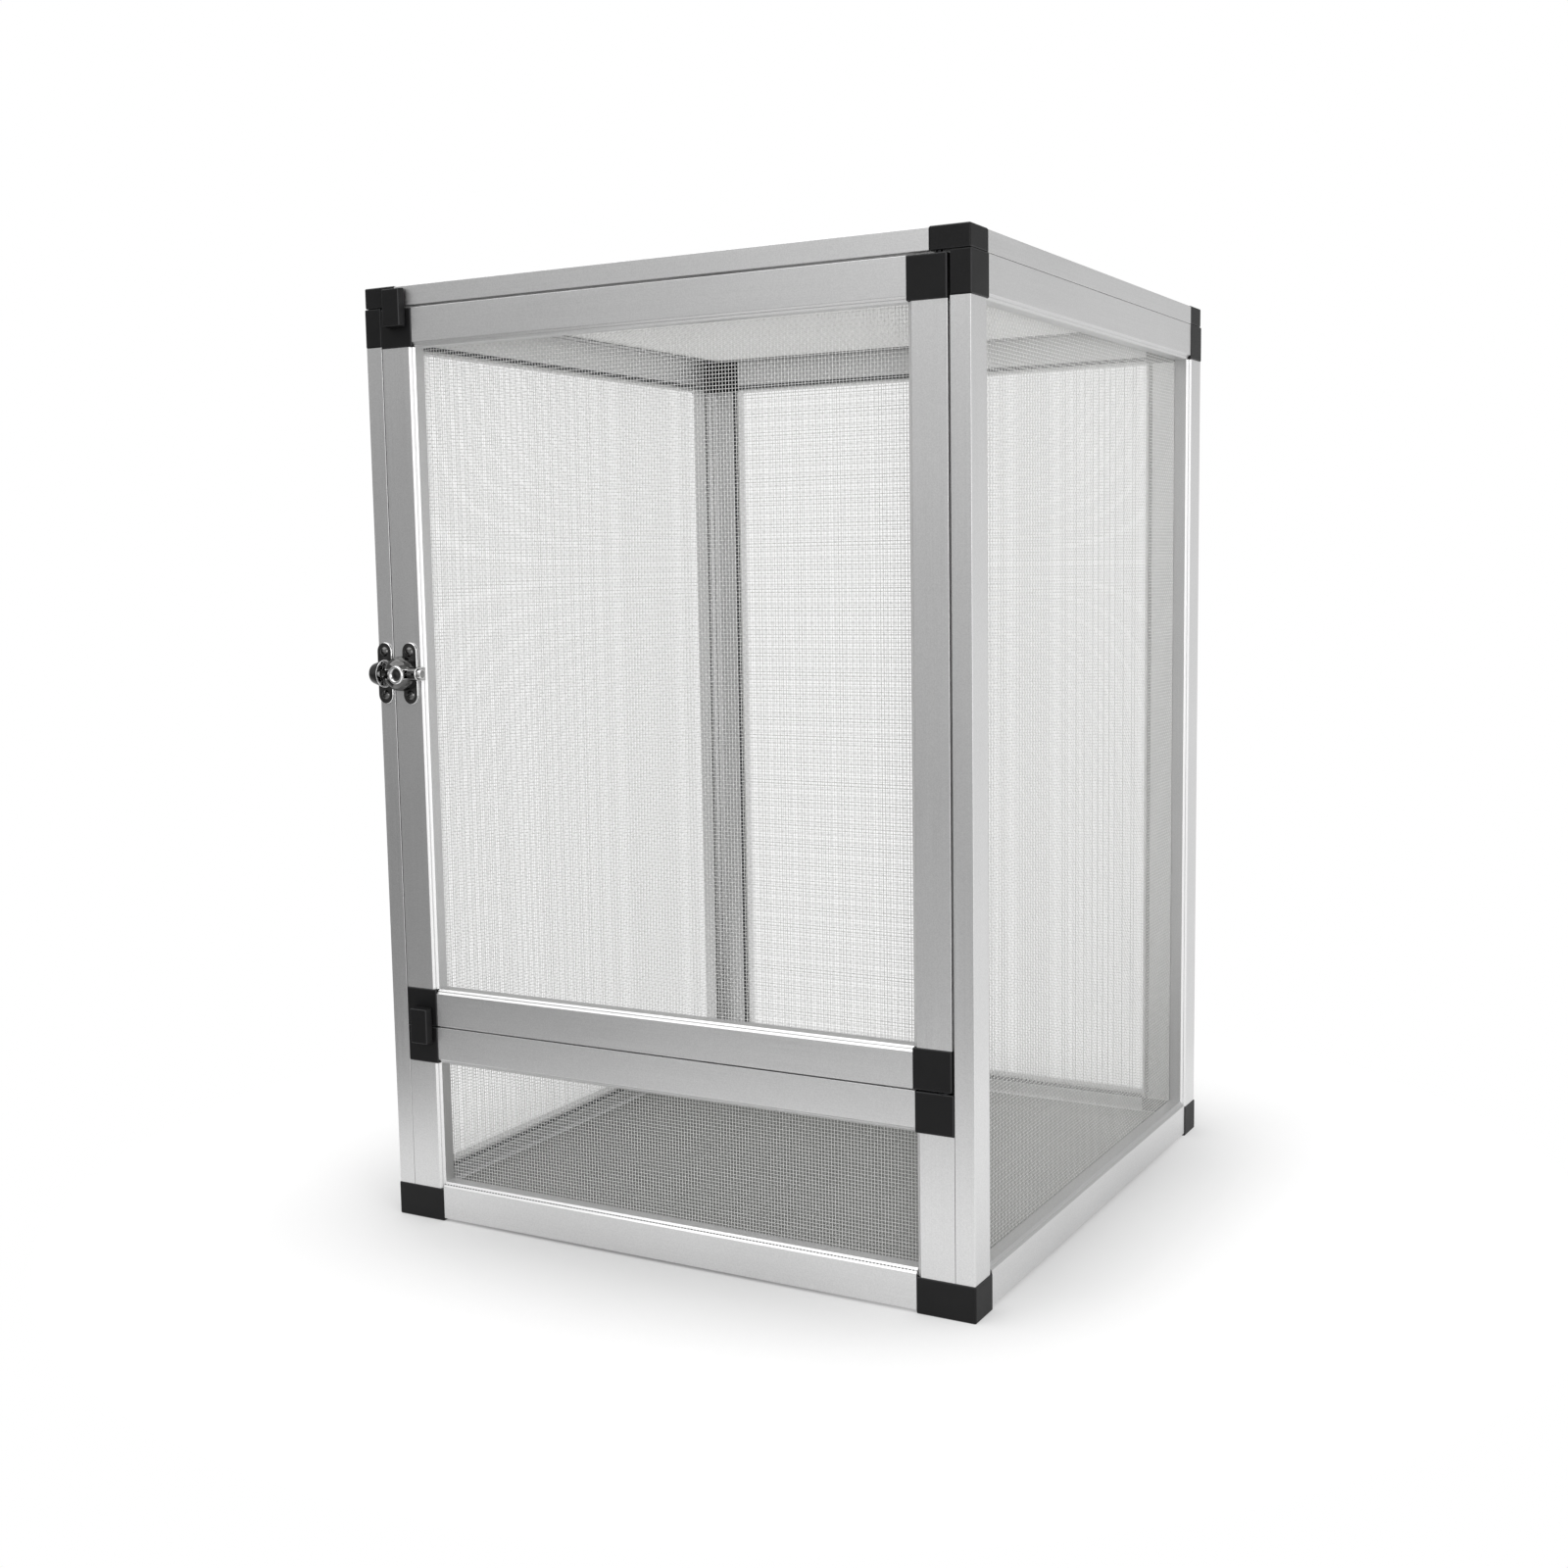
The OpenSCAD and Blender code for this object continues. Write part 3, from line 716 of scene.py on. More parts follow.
def inset_outlines(
    corners: np.ndarray, radius: float, insets: np.ndarray, steps: int
) -> np.ndarray:
    """Draws a rounded polygon at several insets.

    A corner moves by inset * (n1 + n2) / (1 + n1.n2), with n1 and n2 the inward normals of its
    edges; convex radii shrink by the inset, and hollow ones grow by it.

    Args:
        corners: The polygon's corners, anticlockwise.
        radius: Radius of its corners without an inset.
        insets: The insets.
        steps: Steps of each arc.

    Returns:
        The outlines, one for each inset.
    """
    before = edge_directions(corners)
    normal = np.stack([-before[:, 1], before[:, 0]], axis=1)
    after = np.roll(normal, -1, axis=0)
    shift = (normal + after) / (1.0 + np.sum(normal * after, axis=1, keepdims=True))
    moved = corners + insets[:, None, None] * shift
    radii = radius - np.sign(corner_turns(corners)) * insets[:, None]
    return rounded_outline(moved, np.maximum(radii, LEAST_RADIUS), steps)


def tubes(
    rings: np.ndarray,
    along: np.ndarray,
    around: np.ndarray,
    wear_and_highlight: np.ndarray,
    capped: bool = True,
    looped: bool = False,
) -> Skin:
    """wear_and_highlight: Weight of wear and painted highlight, broadcast over tube, ring and
    place.
        along: Map position of each ring, by tube, with one more where the tube is looped.
        around: Map position round the ring, by tube, with one more than the ring has points.
        wear_and_highlight: Rubbed-edge weight, broadcast over tube, ring and place.
        capped: Whether the first and the last ring are closed with one face each.
        looped: Whether the last ring joins the first.

    Returns:
        The skin of all the tubes.
    """
    count, rows, columns = rings.shape[:3]
    index = np.arange(count * rows * columns).reshape(count, rows, columns)
    spans = rows if looped else rows - 1
    beside = np.roll(index, -1, axis=2)
    above = np.roll(index, -1, axis=1)
    diagonal = np.roll(beside, -1, axis=1)
    quads = np.stack([index, beside, diagonal, above], axis=-1)[:, :spans].reshape(-1, 4)
    low, high = along[:, :spans, None], along[:, 1 : spans + 1, None]
    near, far = around[:, None, :-1], around[:, None, 1:]
    pairs = [(low, near), (low, far), (high, far), (high, near)]
    shape = (count, spans, columns)
    corner_maps = [
        np.stack([np.broadcast_to(u, shape), np.broadcast_to(v, shape)], axis=-1)
        for u, v in pairs
    ]
    faces, maps = [quads], [np.stack(corner_maps, axis=-2).reshape(-1, 4, 2)]
    if capped and not looped:
        for ring, at in ((index[:, 0, ::-1], along[:, :1]), (index[:, -1], along[:, -1:])):
            faces.append(ring)
            flat = (count, columns)
            maps.append(np.stack(
                [np.broadcast_to(at, flat), np.broadcast_to(around[:, :-1], flat)], axis=-1
            ))
    weight = np.broadcast_to(wear_and_highlight, (count, rows, columns)).reshape(-1)
    return Skin(rings.reshape(-1, 3), faces, maps, weight)


def path_lengths(points: np.ndarray, closed: bool) -> np.ndarray:
    """Running length along points, in metres.

    Args:
        points: The points in order.
        closed: Whether the last one joins the first.

    Returns:
        The length at each point, with one more where the path is closed.
    """
    ends = np.concatenate([points, points[:1]]) if closed else points
    steps = np.linalg.norm(np.diff(ends, axis=0), axis=1)
    return np.concatenate([[0.0], np.cumsum(steps)]) * MM


def swept(profile: np.ndarray, length: float, wear_and_highlight: np.ndarray, offset: float = 0.0) -> Skin:
    """Carries a profile straight along X: a point is (s, profile y, profile z).

    Args:
        profile: Outline in Y and Z, anticlockwise about X.
        length: Length of the run.
        wear_and_highlight: Weight of wear and painted highlight of each outline point.
        offset: Shift of the map, so that no two runs share their lines.

    Returns:
        The closed skin.
    """
    ends = np.array([0.0, length])
    rings = np.empty((1, 2, len(profile), 3))
    rings[0, :, :, 0] = ends[:, None]
    rings[0, :, :, 1:] = profile
    around = path_lengths(profile, True)[None]
    return tubes(rings, ends[None] * MM + offset, around, wear_and_highlight)


def rounded_prism(
    corners: np.ndarray,
    radius: float,
    bottom: float,
    top: float,
    rim: float,
    draft: float = 0.0,
    steps: int = 4,
) -> Skin:
    """Stands a rounded polygon up along Z, with rounded rims.

    At the angle a of the rim the outline is inset by rim * (1 - sin a) and lies
    rim * (1 - cos a) inside the end face. A strip's width past both ends of a rim there is one
    more outline.

    Args:
        corners: The polygon's corners, anticlockwise.
        radius: Radius of its corners.
        bottom: Height of its lower face.
        top: Height of its upper face.
        rim: Radius of the rims.
        draft: Extra inset of the upper end.
        steps: Steps of each arc.

    Returns:
        The closed skin.
    """
    angle = np.linspace(0.0, math.pi / 2, steps + 1)
    wall = top - bottom - 2 * rim
    strip = min(STRIP, WALL_SHARE * wall)
    inset = np.concatenate([[rim + STRIP], rim * (1.0 - np.sin(angle)), [draft * strip / wall]])
    rise = np.concatenate([[0.0], rim * (1.0 - np.cos(angle)), [rim + strip]])
    upper = inset[::-1] + draft
    upper[0] = draft - inset[-1]
    insets = np.concatenate([inset, upper])
    heights = np.concatenate([bottom + rise, top - rise[::-1]])
    outlines = inset_outlines(corners, radius, insets, steps)
    levels = np.broadcast_to(heights[:, None, None], (*outlines.shape[:2], 1))
    rings = np.concatenate([outlines, levels], axis=-1)[None]
    # Weight of wear and painted highlight on the rims: none on the faces, most half way round a
    # rim
    bend = np.concatenate([[0.0], np.sin(2.0 * angle), [0.0]])
    bend = np.concatenate([bend, bend[::-1]])
    around = path_lengths(outlines[steps + 1], True)[None]
    return tubes(rings, heights[None] * MM, around, bend[None, :, None])


def rectangle(low: tuple[float, float], high: tuple[float, float]) -> np.ndarray:
    """The four corners of an upright rectangle, anticlockwise from its lowest one."""
    return np.array([low, (high[0], low[1]), high, (low[0], high[1])], float)


def revolved(profile: np.ndarray, sides: int) -> Skin:
    """Turns a profile about Z: a point is (r cos a, r sin a, h).

    Args:
        profile: Radius, height and weight of wear and painted highlight of each ring, from one end
            to the other.
        sides: Points of each ring.

    Returns:
        The closed skin.
    """
    angle = turn_angles(sides)
    circle = np.stack([np.cos(angle), np.sin(angle)], axis=-1)
    rings = np.empty((1, len(profile), sides, 3))
    rings[0, :, :, :2] = profile[:, None, :1] * circle
    rings[0, :, :, 2] = profile[:, 1:2]
    around = np.linspace(0.0, 2.0 * math.pi * np.max(profile[:, 0]) * MM, sides + 1)
    along = path_lengths(profile[:, :2], False)[None]
    return tubes(rings, along, around[None], profile[None, :, 2:])


def open_sheet(grid: np.ndarray) -> Skin:
    """Joins a grid of points with quads that face along (column step) x (row step).

    Args:
        grid: Points by row, column and axis.

    Returns:
        The open skin.
    """
    rows, columns = grid.shape[:2]
    index = np.arange(rows * columns).reshape(rows, columns)
    quads = np.stack(
        [index[:-1, :-1], index[:-1, 1:], index[1:, 1:], index[1:, :-1]], axis=-1
    ).reshape(-1, 4)
    points = grid.reshape(-1, 3)
    return Skin(points, [quads], [points[quads][..., :2] * MM], np.zeros(len(points)))


def joined(skins: Sequence[Skin]) -> Skin:
    """Puts several skins into one.

    Args:
        skins: The skins.

    Returns:
        One skin with all their points and faces.
    """
    starts = np.cumsum([0] + [len(skin.points) for skin in skins])
    faces = [face + start for skin, start in zip(skins, starts) for face in skin.faces]
    maps = [part for skin in skins for part in skin.maps]
    return Skin(
        np.concatenate([skin.points for skin in skins]),
        faces,
        maps,
        np.concatenate([skin.wear_and_highlight for skin in skins]),
    )


def put_in_scene(name: str, data: Any) -> bpy.types.Object:
    """Makes an object and links it to the scene.

    Args:
        name: Its name.
        data: Its mesh, lamp or camera.

    Returns:
        The object.
    """
    made = bpy.data.objects.new(name, data)
    bpy.context.scene.collection.objects.link(made)
    return made


def lay_piece(
    name: str, skins: Sequence[Skin], finish: Finish, body: Body, nodes: Sequence[str]
) -> None:
    """Makes one piece of the cage and puts it in the place of its solids.

    Args:
        name: The piece's name.
        skins: Its skins in millimetres.
        finish: Its finish.
        body: The body that it moves with.
        nodes: The solids that it stands for.
    """
    skin = joined(skins)
    mesh = bpy.data.meshes.new(name)
    sizes = np.concatenate([np.full(len(face), face.shape[1]) for face in skin.faces])
    corners = np.concatenate([face.ravel() for face in skin.faces])
    mesh.vertices.add(len(skin.points))
    mesh.vertices.foreach_set("co", (skin.points * MM).astype(np.float32).ravel())
    mesh.loops.add(len(corners))
    mesh.loops.foreach_set("vertex_index", corners.astype(np.int32))
    mesh.polygons.add(len(sizes))
    starts = np.concatenate([[0], np.cumsum(sizes)[:-1]])
    mesh.polygons.foreach_set("loop_start", starts.astype(np.int32))
    mesh.polygons.foreach_set("use_smooth", np.ones(len(sizes), bool))
    mesh.update(calc_edges=True)
    layer = mesh.uv_layers.new(name=UV_NAME)
    flat = np.concatenate([part.reshape(-1, 2) for part in skin.maps])
    layer.data.foreach_set("uv", flat.astype(np.float32).ravel())
    weight = mesh.attributes.new(WEAR_AND_HIGHLIGHT_NAME, "FLOAT", "POINT")
    weight.data.foreach_set("value", skin.wear_and_highlight.astype(np.float32))
    mesh.set_sharp_from_angle(angle=SHARP_ANGLE)
    mesh.materials.append(finish.material())
    piece = put_in_scene(name, mesh)
    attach(piece, body.value)
    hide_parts(*nodes)
    LOG.info("%s: %d points, %d faces, on %s", name, len(skin.points), len(sizes), body.value)


@dataclass(frozen=True)
class RailSection:
    """The hollow rail's section, seen along it.

    Attributes:
        width: Across its face.
        depth: From its inner face to its outer face.
        bevel: Bevel along the opening.
        line: Width of the fine line scored along the bevel.
        groove_at: Start of the groove.
        lip_at: End of the groove.
        groove: Depth of the groove.
        lip_drop: How far the lip stands back for the mesh.
        spline: Width of the spline strip.
        spline_drop: How far the spline lies below the inner face.
        spline_gap: Gap between the spline and the groove.
    """

    width: float = 20.0
    depth: float = 10.0
    bevel: float = 2.4
    line: float = 0.4
    groove_at: float = 16.0
    lip_at: float = 18.6
    groove: float = 4.0
    lip_drop: float = 0.65
    spline: float = 1.85
    spline_drop: float = 0.1
    spline_gap: float = 0.05

    def outline(self, steps: int = 3) -> tuple[np.ndarray, np.ndarray]:
        """The outside of the rail with softened edges.

        Args:
            steps: Steps of each softened edge.

        Returns:
            The outline and its weights of wear and painted highlight.
        """
        far, deep, bevel, line = self.width, self.depth, self.bevel, self.line
        low, high = (bevel - line) / 2, (bevel + line) / 2
        corners = np.array([
            (0.0, 0.0), (self.groove_at, 0.0), (self.groove_at, self.groove),
            (self.lip_at, self.groove), (self.lip_at, self.lip_drop), (far, self.lip_drop),
            (far, deep - bevel), (far - low, deep - high), (far - high, deep - high),
            (far - high, deep - low), (far - bevel, deep), (0.0, deep),
        ])
        radii = np.array([0.2, 0.15, 0.2, 0.2, 0.15, 0.15, 0.3, 0.05, 0.05, 0.05, 0.3, 0.2])
        # Weights of wear and painted highlight: the bevel's edges get the brightest painted
        # highlight
        weights = np.array([0.2, 0.2, 0.0, 0.0, 0.2, 0.2, 0.6, 0.4, 0.0, 0.4, 0.6, 0.2])
        return rounded_outline(corners, radii, steps), edge_weights(weights, steps)

    def spline_outline(self, steps: int = 3) -> tuple[np.ndarray, np.ndarray]:
        """The spline strip in the groove, rounded on its open side.

        Args:
            steps: Steps of each rounded edge.

        Returns:
            The outline and its weights of wear and painted highlight.
        """
        low, top = self.groove_at + self.spline_gap, self.groove - self.spline_gap
        corners = rectangle((low, self.spline_drop), (low + self.spline, top))
        radii = np.array([0.6, 0.6, 0.25, 0.25])
        return rounded_outline(corners, radii, steps), edge_weights(np.zeros(4), steps)


SECTION = RailSection()
# Rails whose scored line gets the painted reflection of the mesh's strands
MESH_REFLECTION_RAILS = ("lower_bottom_rail",)


@dataclass(frozen=True)
class WireNet:
    """A flat woven net whose strands turn into the groove at both ends.

    Attributes:
        pitch: Spacing of the strands.
        wire: Diameter of a strand.
        hem_at: Distance of the turned ends from the panel's edge.
        hem: Depth of the turned ends, zero where they are cut flat.
        low: Height of the lower layer's lower side.
        sides: Sides of a strand.
        number: Least and most part of a strand's number, which the map shows round it.
    """

    pitch: float = 1.8
    wire: float = 0.29
    hem_at: float = 18.25
    hem: float = 2.5
    low: float = 0.02
    sides: int = 6
    number: tuple[float, float] = (0.05, 0.95)

    def cells(self, length: float) -> int:
        """Number of strands that fill a length, at least two."""
        return max(2, round(length / self.pitch))

    def strand_rings(self, span: float, level: float) -> np.ndarray:
        """Rings of one strand along X, with mitred bends.

        A ring's point is the path's point plus r cos a along Y plus r sin a along the mitre, and
        the mitre at a bend is (n1 + n2) / (1 + n1.n2) of the two path normals.

        Args:
            span: Length of the straight run.
            level: Height of its middle.

        Returns:
            The rings of a strand that starts at zero.
        """
        if self.hem:
            path = np.array([(0.0, self.hem), (0.0, level), (span, level), (span, self.hem)])
        else:
            path = np.array([(0.0, level), (span, level)])
        step = np.diff(path, axis=0)
        step /= np.linalg.norm(step, axis=1, keepdims=True)
        normal = np.stack([-step[:, 1], step[:, 0]], axis=1)
        first = np.concatenate([normal[:1], normal])
        second = np.concatenate([normal, normal[-1:]])
        mitre = (first + second) / (1.0 + np.sum(first * second, axis=1, keepdims=True))
        angle = turn_angles(self.sides)
        radius = self.wire / 2
        rings = np.zeros((len(path), self.sides, 3))
        rings[..., 0] = path[:, :1] + radius * np.sin(angle) * mitre[:, :1]
        rings[..., 1] = radius * np.cos(angle)
        rings[..., 2] = path[:, 1:] + radius * np.sin(angle) * mitre[:, 1:]
        return rings

    def layer(self, span: float, across: float, level: float, cell: float) -> Skin:
        """One layer of parallel strands along X.

        Args:
            span: Length of the strands.
            across: Width that the strands fill, from zero up.
            level: Height of their middle.
            cell: Spacing of the strands that cross them.

        Returns:
            The layer's skin, whose map counts cells along and strands across.
        """
        count = self.cells(across)
        places = (np.arange(count) + 0.5) * (across / count)
        rings = np.repeat(self.strand_rings(span, level)[None], count, axis=0)
        rings[..., 1] += places[:, None, None]
        cells = np.clip(rings[:, :, 0, 0], 0.0, span) / cell
        number = np.arange(count)[:, None] + np.linspace(*self.number, self.sides + 1)
        return tubes(rings, cells, number, np.zeros((1, 1, 1)))

    def skins(self, place: Placement, width: float, height: float) -> list[Skin]:
        """Both layers of a net in a panel.

        Args:
            place: The panel's axes.
            width: The panel's width.
            height: The panel's height.

        Returns:
            The two layers, placed in the cage.
        """
        span_x, span_y = width - 2 * self.hem_at, height - 2 * self.hem_at
        middle = self.low + self.wire / 2
        weft = self.layer(span_x, span_y, middle, span_x / self.cells(span_x))
        warp = self.layer(span_y, span_x, middle + self.wire, span_y / self.cells(span_y))
        start = (self.hem_at, self.hem_at)
        end = (width - self.hem_at, self.hem_at)
        return [place.turned(0, start).skin(weft), place.turned(1, end).skin(warp)]


@dataclass
class FramedPanel:
    """One framed mesh panel: four rails, corner connectors, mesh and spline.

    Attributes:
        name: The panel's name, which starts the names of its solids.
        width: Its width.
        height: Its height.
        place: Its axes, with X along it, Y up it and Z out of the cage.
        arm: How far its lower connectors reach up.
        body: The body that it moves with.
        rails: Names of the rails on its lower, upper, first and far edge.
        connectors: Corners of the connectors in each solid of that name.
        block: Side of a connector's square face.
        block_depth: Depth of a connector.
        block_round: Radius of its corners.
        block_rim: Radius of its rims.
    """

    name: str
    width: float
    height: float
    place: Placement
    arm: float
    body: Body
    rails: Sequence[str]
    connectors: Mapping[str, Sequence[Corner]]
    block: float = 20.0
    block_depth: float = 10.5
    block_round: float = 0.8
    block_rim: float = 0.7

    def run(
        self, edge: Edge, start: float, section: tuple[np.ndarray, np.ndarray], offset: float
    ) -> Skin:
        """Sweeps a section along one edge between the connectors, its Y towards the opening.

        Args:
            edge: The edge.
            start: How far from the lower end an upright begins.
            section: The section's outline and its weights of wear and painted highlight.
            offset: Shift of the map.

        Returns:
            The run, placed in the cage.
        """
        across, upright = self.width - 2 * self.block, self.height - self.block - start
        quarters, at, length = {
            Edge.LOW: (0, (self.block, 0.0), across),
            Edge.HIGH: (2, (self.width - self.block, self.height), across),
            Edge.FIRST: (3, (0.0, self.height - self.block), upright),
            Edge.FAR: (1, (self.width, start), upright),
        }[edge]
        outline, wear_and_highlight = section
        return self.place.turned(quarters, at).skin(swept(outline, length, wear_and_highlight, offset))

    def build_rails(self) -> None:
        """Lays the four rails, each with its own lines."""
        own = PANEL_SHIFT * len(self.name) + WIDTH_SHIFT * self.width
        for number, (edge, name) in enumerate(zip(Edge, self.rails)):
            node = f"{self.name}_{name}"
            rail = self.run(edge, self.arm, SECTION.outline(), RAIL_SHIFT * number + own)
            finish = MESH_REFLECTION_ALUMINIUM if node in MESH_REFLECTION_RAILS else ALUMINIUM
            lay_piece(f"{node}_extrusion", [rail], finish, self.body, [node])

    def build_connectors(self) -> None:
        """Lays the corner connectors: rounded blocks, a little proud of the rails."""
        for node, corners in self.connectors.items():
            skins = []
            for corner in corners:
                right, high = corner.value
                low = (right * (self.width - self.block), high * (self.height - self.block))
                block = rectangle(low, (low[0] + self.block, low[1] + self.block))
                prism = rounded_prism(
                    block, self.block_round, 0.0, self.block_depth, self.block_rim
                )
                skins.append(self.place.skin(prism))
            lay_piece(f"{node}_moulding", skins, BLACK, self.body, [node])

    def build_mesh(self, net: WireNet) -> None:
        """Lays the woven mesh and the spline that holds it.

        Args:
            net: The woven net.
        """
        mesh, spline = f"{self.name}_mesh", f"{self.name}_spline"
        weave = net.skins(self.place, self.width, self.height)
        lay_piece(f"{mesh}_weave", weave, WIRE, self.body, [mesh])
        strips = [
            self.run(edge, self.block, SECTION.spline_outline(), SPLINE_SHIFT * number)
            for number, edge in enumerate(Edge)
        ]
        lay_piece(f"{spline}_strips", strips, RUBBER, self.body, [spline])

    def build(self, net: WireNet) -> None:
        """Lays the whole panel.

        Args:
            net: The woven net.
        """
        self.build_rails()
        self.build_connectors()
        self.build_mesh(net)


@dataclass
class Cage:
    """The six framed panels that make the cage.

    Attributes:
        side: Distance of the outer rail faces from the middle, to the sides and to the front.
        inner: Distance of the inner rail faces from the middle.
        fixed: Half width of the panels between the sides.
        door: Distance of the door's hinge edge from the middle.
        door_left: Distance of its latch edge from the middle.
        foot: Height of the rails above the ground.
        roof: Height of the top panel's inner face.
        wall_height: Height of the walls.
        lower_height: Height of the lower front panel.
        door_low: Height of the door's lower edge above the ground.
        door_height: Height of the door.
        foot_arm: How far a foot reaches up beside the rails.
        arm: How far any other connector reaches.
    """

    side: float = OUTER
    inner: float = INNER
    fixed: float = 161.8
    door: float = 160.8
    door_left: float = 161.5
    foot: float = 1.5
    roof: float = 489.5
    wall_height: float = 487.8
    lower_height: float = 106.5
    door_low: float = 108.8
    door_height: float = 379.5
    foot_arm: float = 16.5
    arm: float = 20.0

    def panels(self) -> list[FramedPanel]:
        """Puts the six panels in their places.

        Returns:
            The panels.
        """
        side, inner, tall = self.side, self.inner, self.wall_height
        wide, narrow = 2 * side, 2 * self.fixed
        front, back = SHIFT - inner, SHIFT + inner
        above = Placement((-side, SHIFT - side, self.roof), *LEVEL_AXES)
        left = Placement((-inner, SHIFT + side, self.foot), FRONT, UP, LEFT)
        right = Placement((inner, SHIFT - side, self.foot), BACK, UP, RIGHT)
        rear = Placement((self.fixed, back, self.foot), LEFT, UP, BACK)
        lower = Placement((-self.fixed, front, self.foot), *FRONT_AXES)
        door = Placement((-self.door_left, front, self.door_low), *FRONT_AXES)
        upper = (Corner.HIGH_FIRST, Corner.HIGH_FAR)
        panels = [FramedPanel(
            "top", wide, wide, above, self.arm, Body.FRAME,
            ("front_rail", "back_rail", "left_rail", "right_rail"),
            {"top_blocks": tuple(Corner)},
        )]
        for name, width, height, place, first, far in (
            ("left", wide, tall, left, "back_post", "front_post"),
            ("right", wide, tall, right, "front_post", "back_post"),
            ("back", narrow, tall, rear, "right_post", "left_post"),
            ("lower", narrow, self.lower_height, lower, "left_post", "right_post"),
        ):
            panels.append(FramedPanel(
                name, width, height, place, self.foot_arm, Body.FRAME,
                ("bottom_rail", "top_rail", first, far), {f"{name}_blocks": upper},
            ))
        panels.append(FramedPanel(
            "door", self.door_left + self.door, self.door_height, door, self.arm, Body.DOOR,
            ("bottom_rail", "top_rail", "latch_post", "hinge_post"), {
                "door_stop_blocks": (Corner.LOW_FIRST, Corner.HIGH_FIRST),
                "door_pivot_blocks": (Corner.LOW_FAR, Corner.HIGH_FAR),
            },
        ))
        return panels

    def build(self, net: WireNet) -> None:
        """Lays all the panels, with one woven net for all."""
        for panel in self.panels():
            panel.build(net)


@dataclass
class CornerFeet:
    """Four feet, each one moulded block round a corner.

    Attributes:
        reach: Distance of the outer faces from the middle.
        inner: Distance of the inner faces from the middle.
        across_end: Where the arm under the front or the back ends.
        side_end: Where the arm under a side ends.
        height: Height of a foot.
        corner: Radius of its corners.
        rim: Radius of its rims.
    """

    reach: float = 172.5
    inner: float = INNER
    across_end: float = 141.8
    side_end: float = 152.0
    height: float = 18.0
    corner: float = 0.9
    rim: float = 0.7

    def build(self) -> None:
        """Lays the four feet as one moulded set of L-shaped prisms."""
        outline = np.array([
            (self.across_end, -self.reach), (self.reach, -self.reach),
            (self.reach, -self.side_end), (self.inner, -self.side_end),
            (self.inner, -self.inner), (self.across_end, -self.inner),
        ])
        skins = []
        for x, y in ((1, 1), (-1, 1), (-1, -1), (1, -1)):
            turned = (outline * (x, y))[:: x * y]
            foot = rounded_prism(turned, self.corner, 0.0, self.height, self.rim)
            skins.append(GROUND.skin(foot))
        lay_piece("corner_feet_moulding", skins, BLACK, Body.FRAME, ["corner_feet"])


@dataclass
class StopTabs:
    """Two raised tabs on the door's latch corners, half over the fixed frame.

    Attributes:
        left: Distance of a tab's left side from the middle.
        width: Width of a tab.
        height: Height of a tab.
        edges: Heights of the door edges that the tabs straddle.
        face: Distance of the connectors' faces in front of the panels' inner faces.
        thick: Thickness of a tab.
        gap: Gap between a tab and the fixed frame.
        soft: Radius of a tab's corners, radius of its rims, and its draft.
        margin: How far a pad stands back from the tab's sides.
        start: How far a pad stands back from the door's edge.
        pad_soft: Radius of a pad's corners, and of its rims.
    """

    left: float = -156.5
    width: float = 12.0
    height: float = 20.0
    edges: tuple[float, float] = (108.8, 488.3)
    face: float = 10.5
    thick: float = 5.1
    gap: float = 0.4
    soft: Triple = (1.0, 0.6, 0.5)
    margin: float = 0.8
    start: float = 0.3
    pad_soft: tuple[float, float] = (0.5, 0.1)

    def build(self) -> None:
        """Lays both tabs: drafted prisms, each with a pad that meets the door's connector."""
        place = Placement((0.0, SHIFT - INNER, 0.0), *FRONT_AXES)
        right, half, margin = self.left + self.width, self.height / 2, self.margin
        corner, rim, draft = self.soft
        skins = []
        for edge, inside in zip(self.edges, (1, -1)):
            tab = rectangle((self.left, edge - half), (right, edge + half))
            front = rounded_prism(
                tab, corner, self.face + self.gap, self.face + self.thick, rim, draft
            )
            ends = sorted((edge + inside * self.start, edge + inside * (half - margin)))
            pad = rectangle((self.left + margin, ends[0]), (right - margin, ends[1]))
            back = rounded_prism(
                pad, self.pad_soft[0], self.face, self.face + 2 * self.gap, self.pad_soft[1]
            )
            skins += [place.skin(front), place.skin(back)]
        lay_piece("stop_tabs_moulding", skins, BLACK, Body.DOOR, ["stop_tabs"])


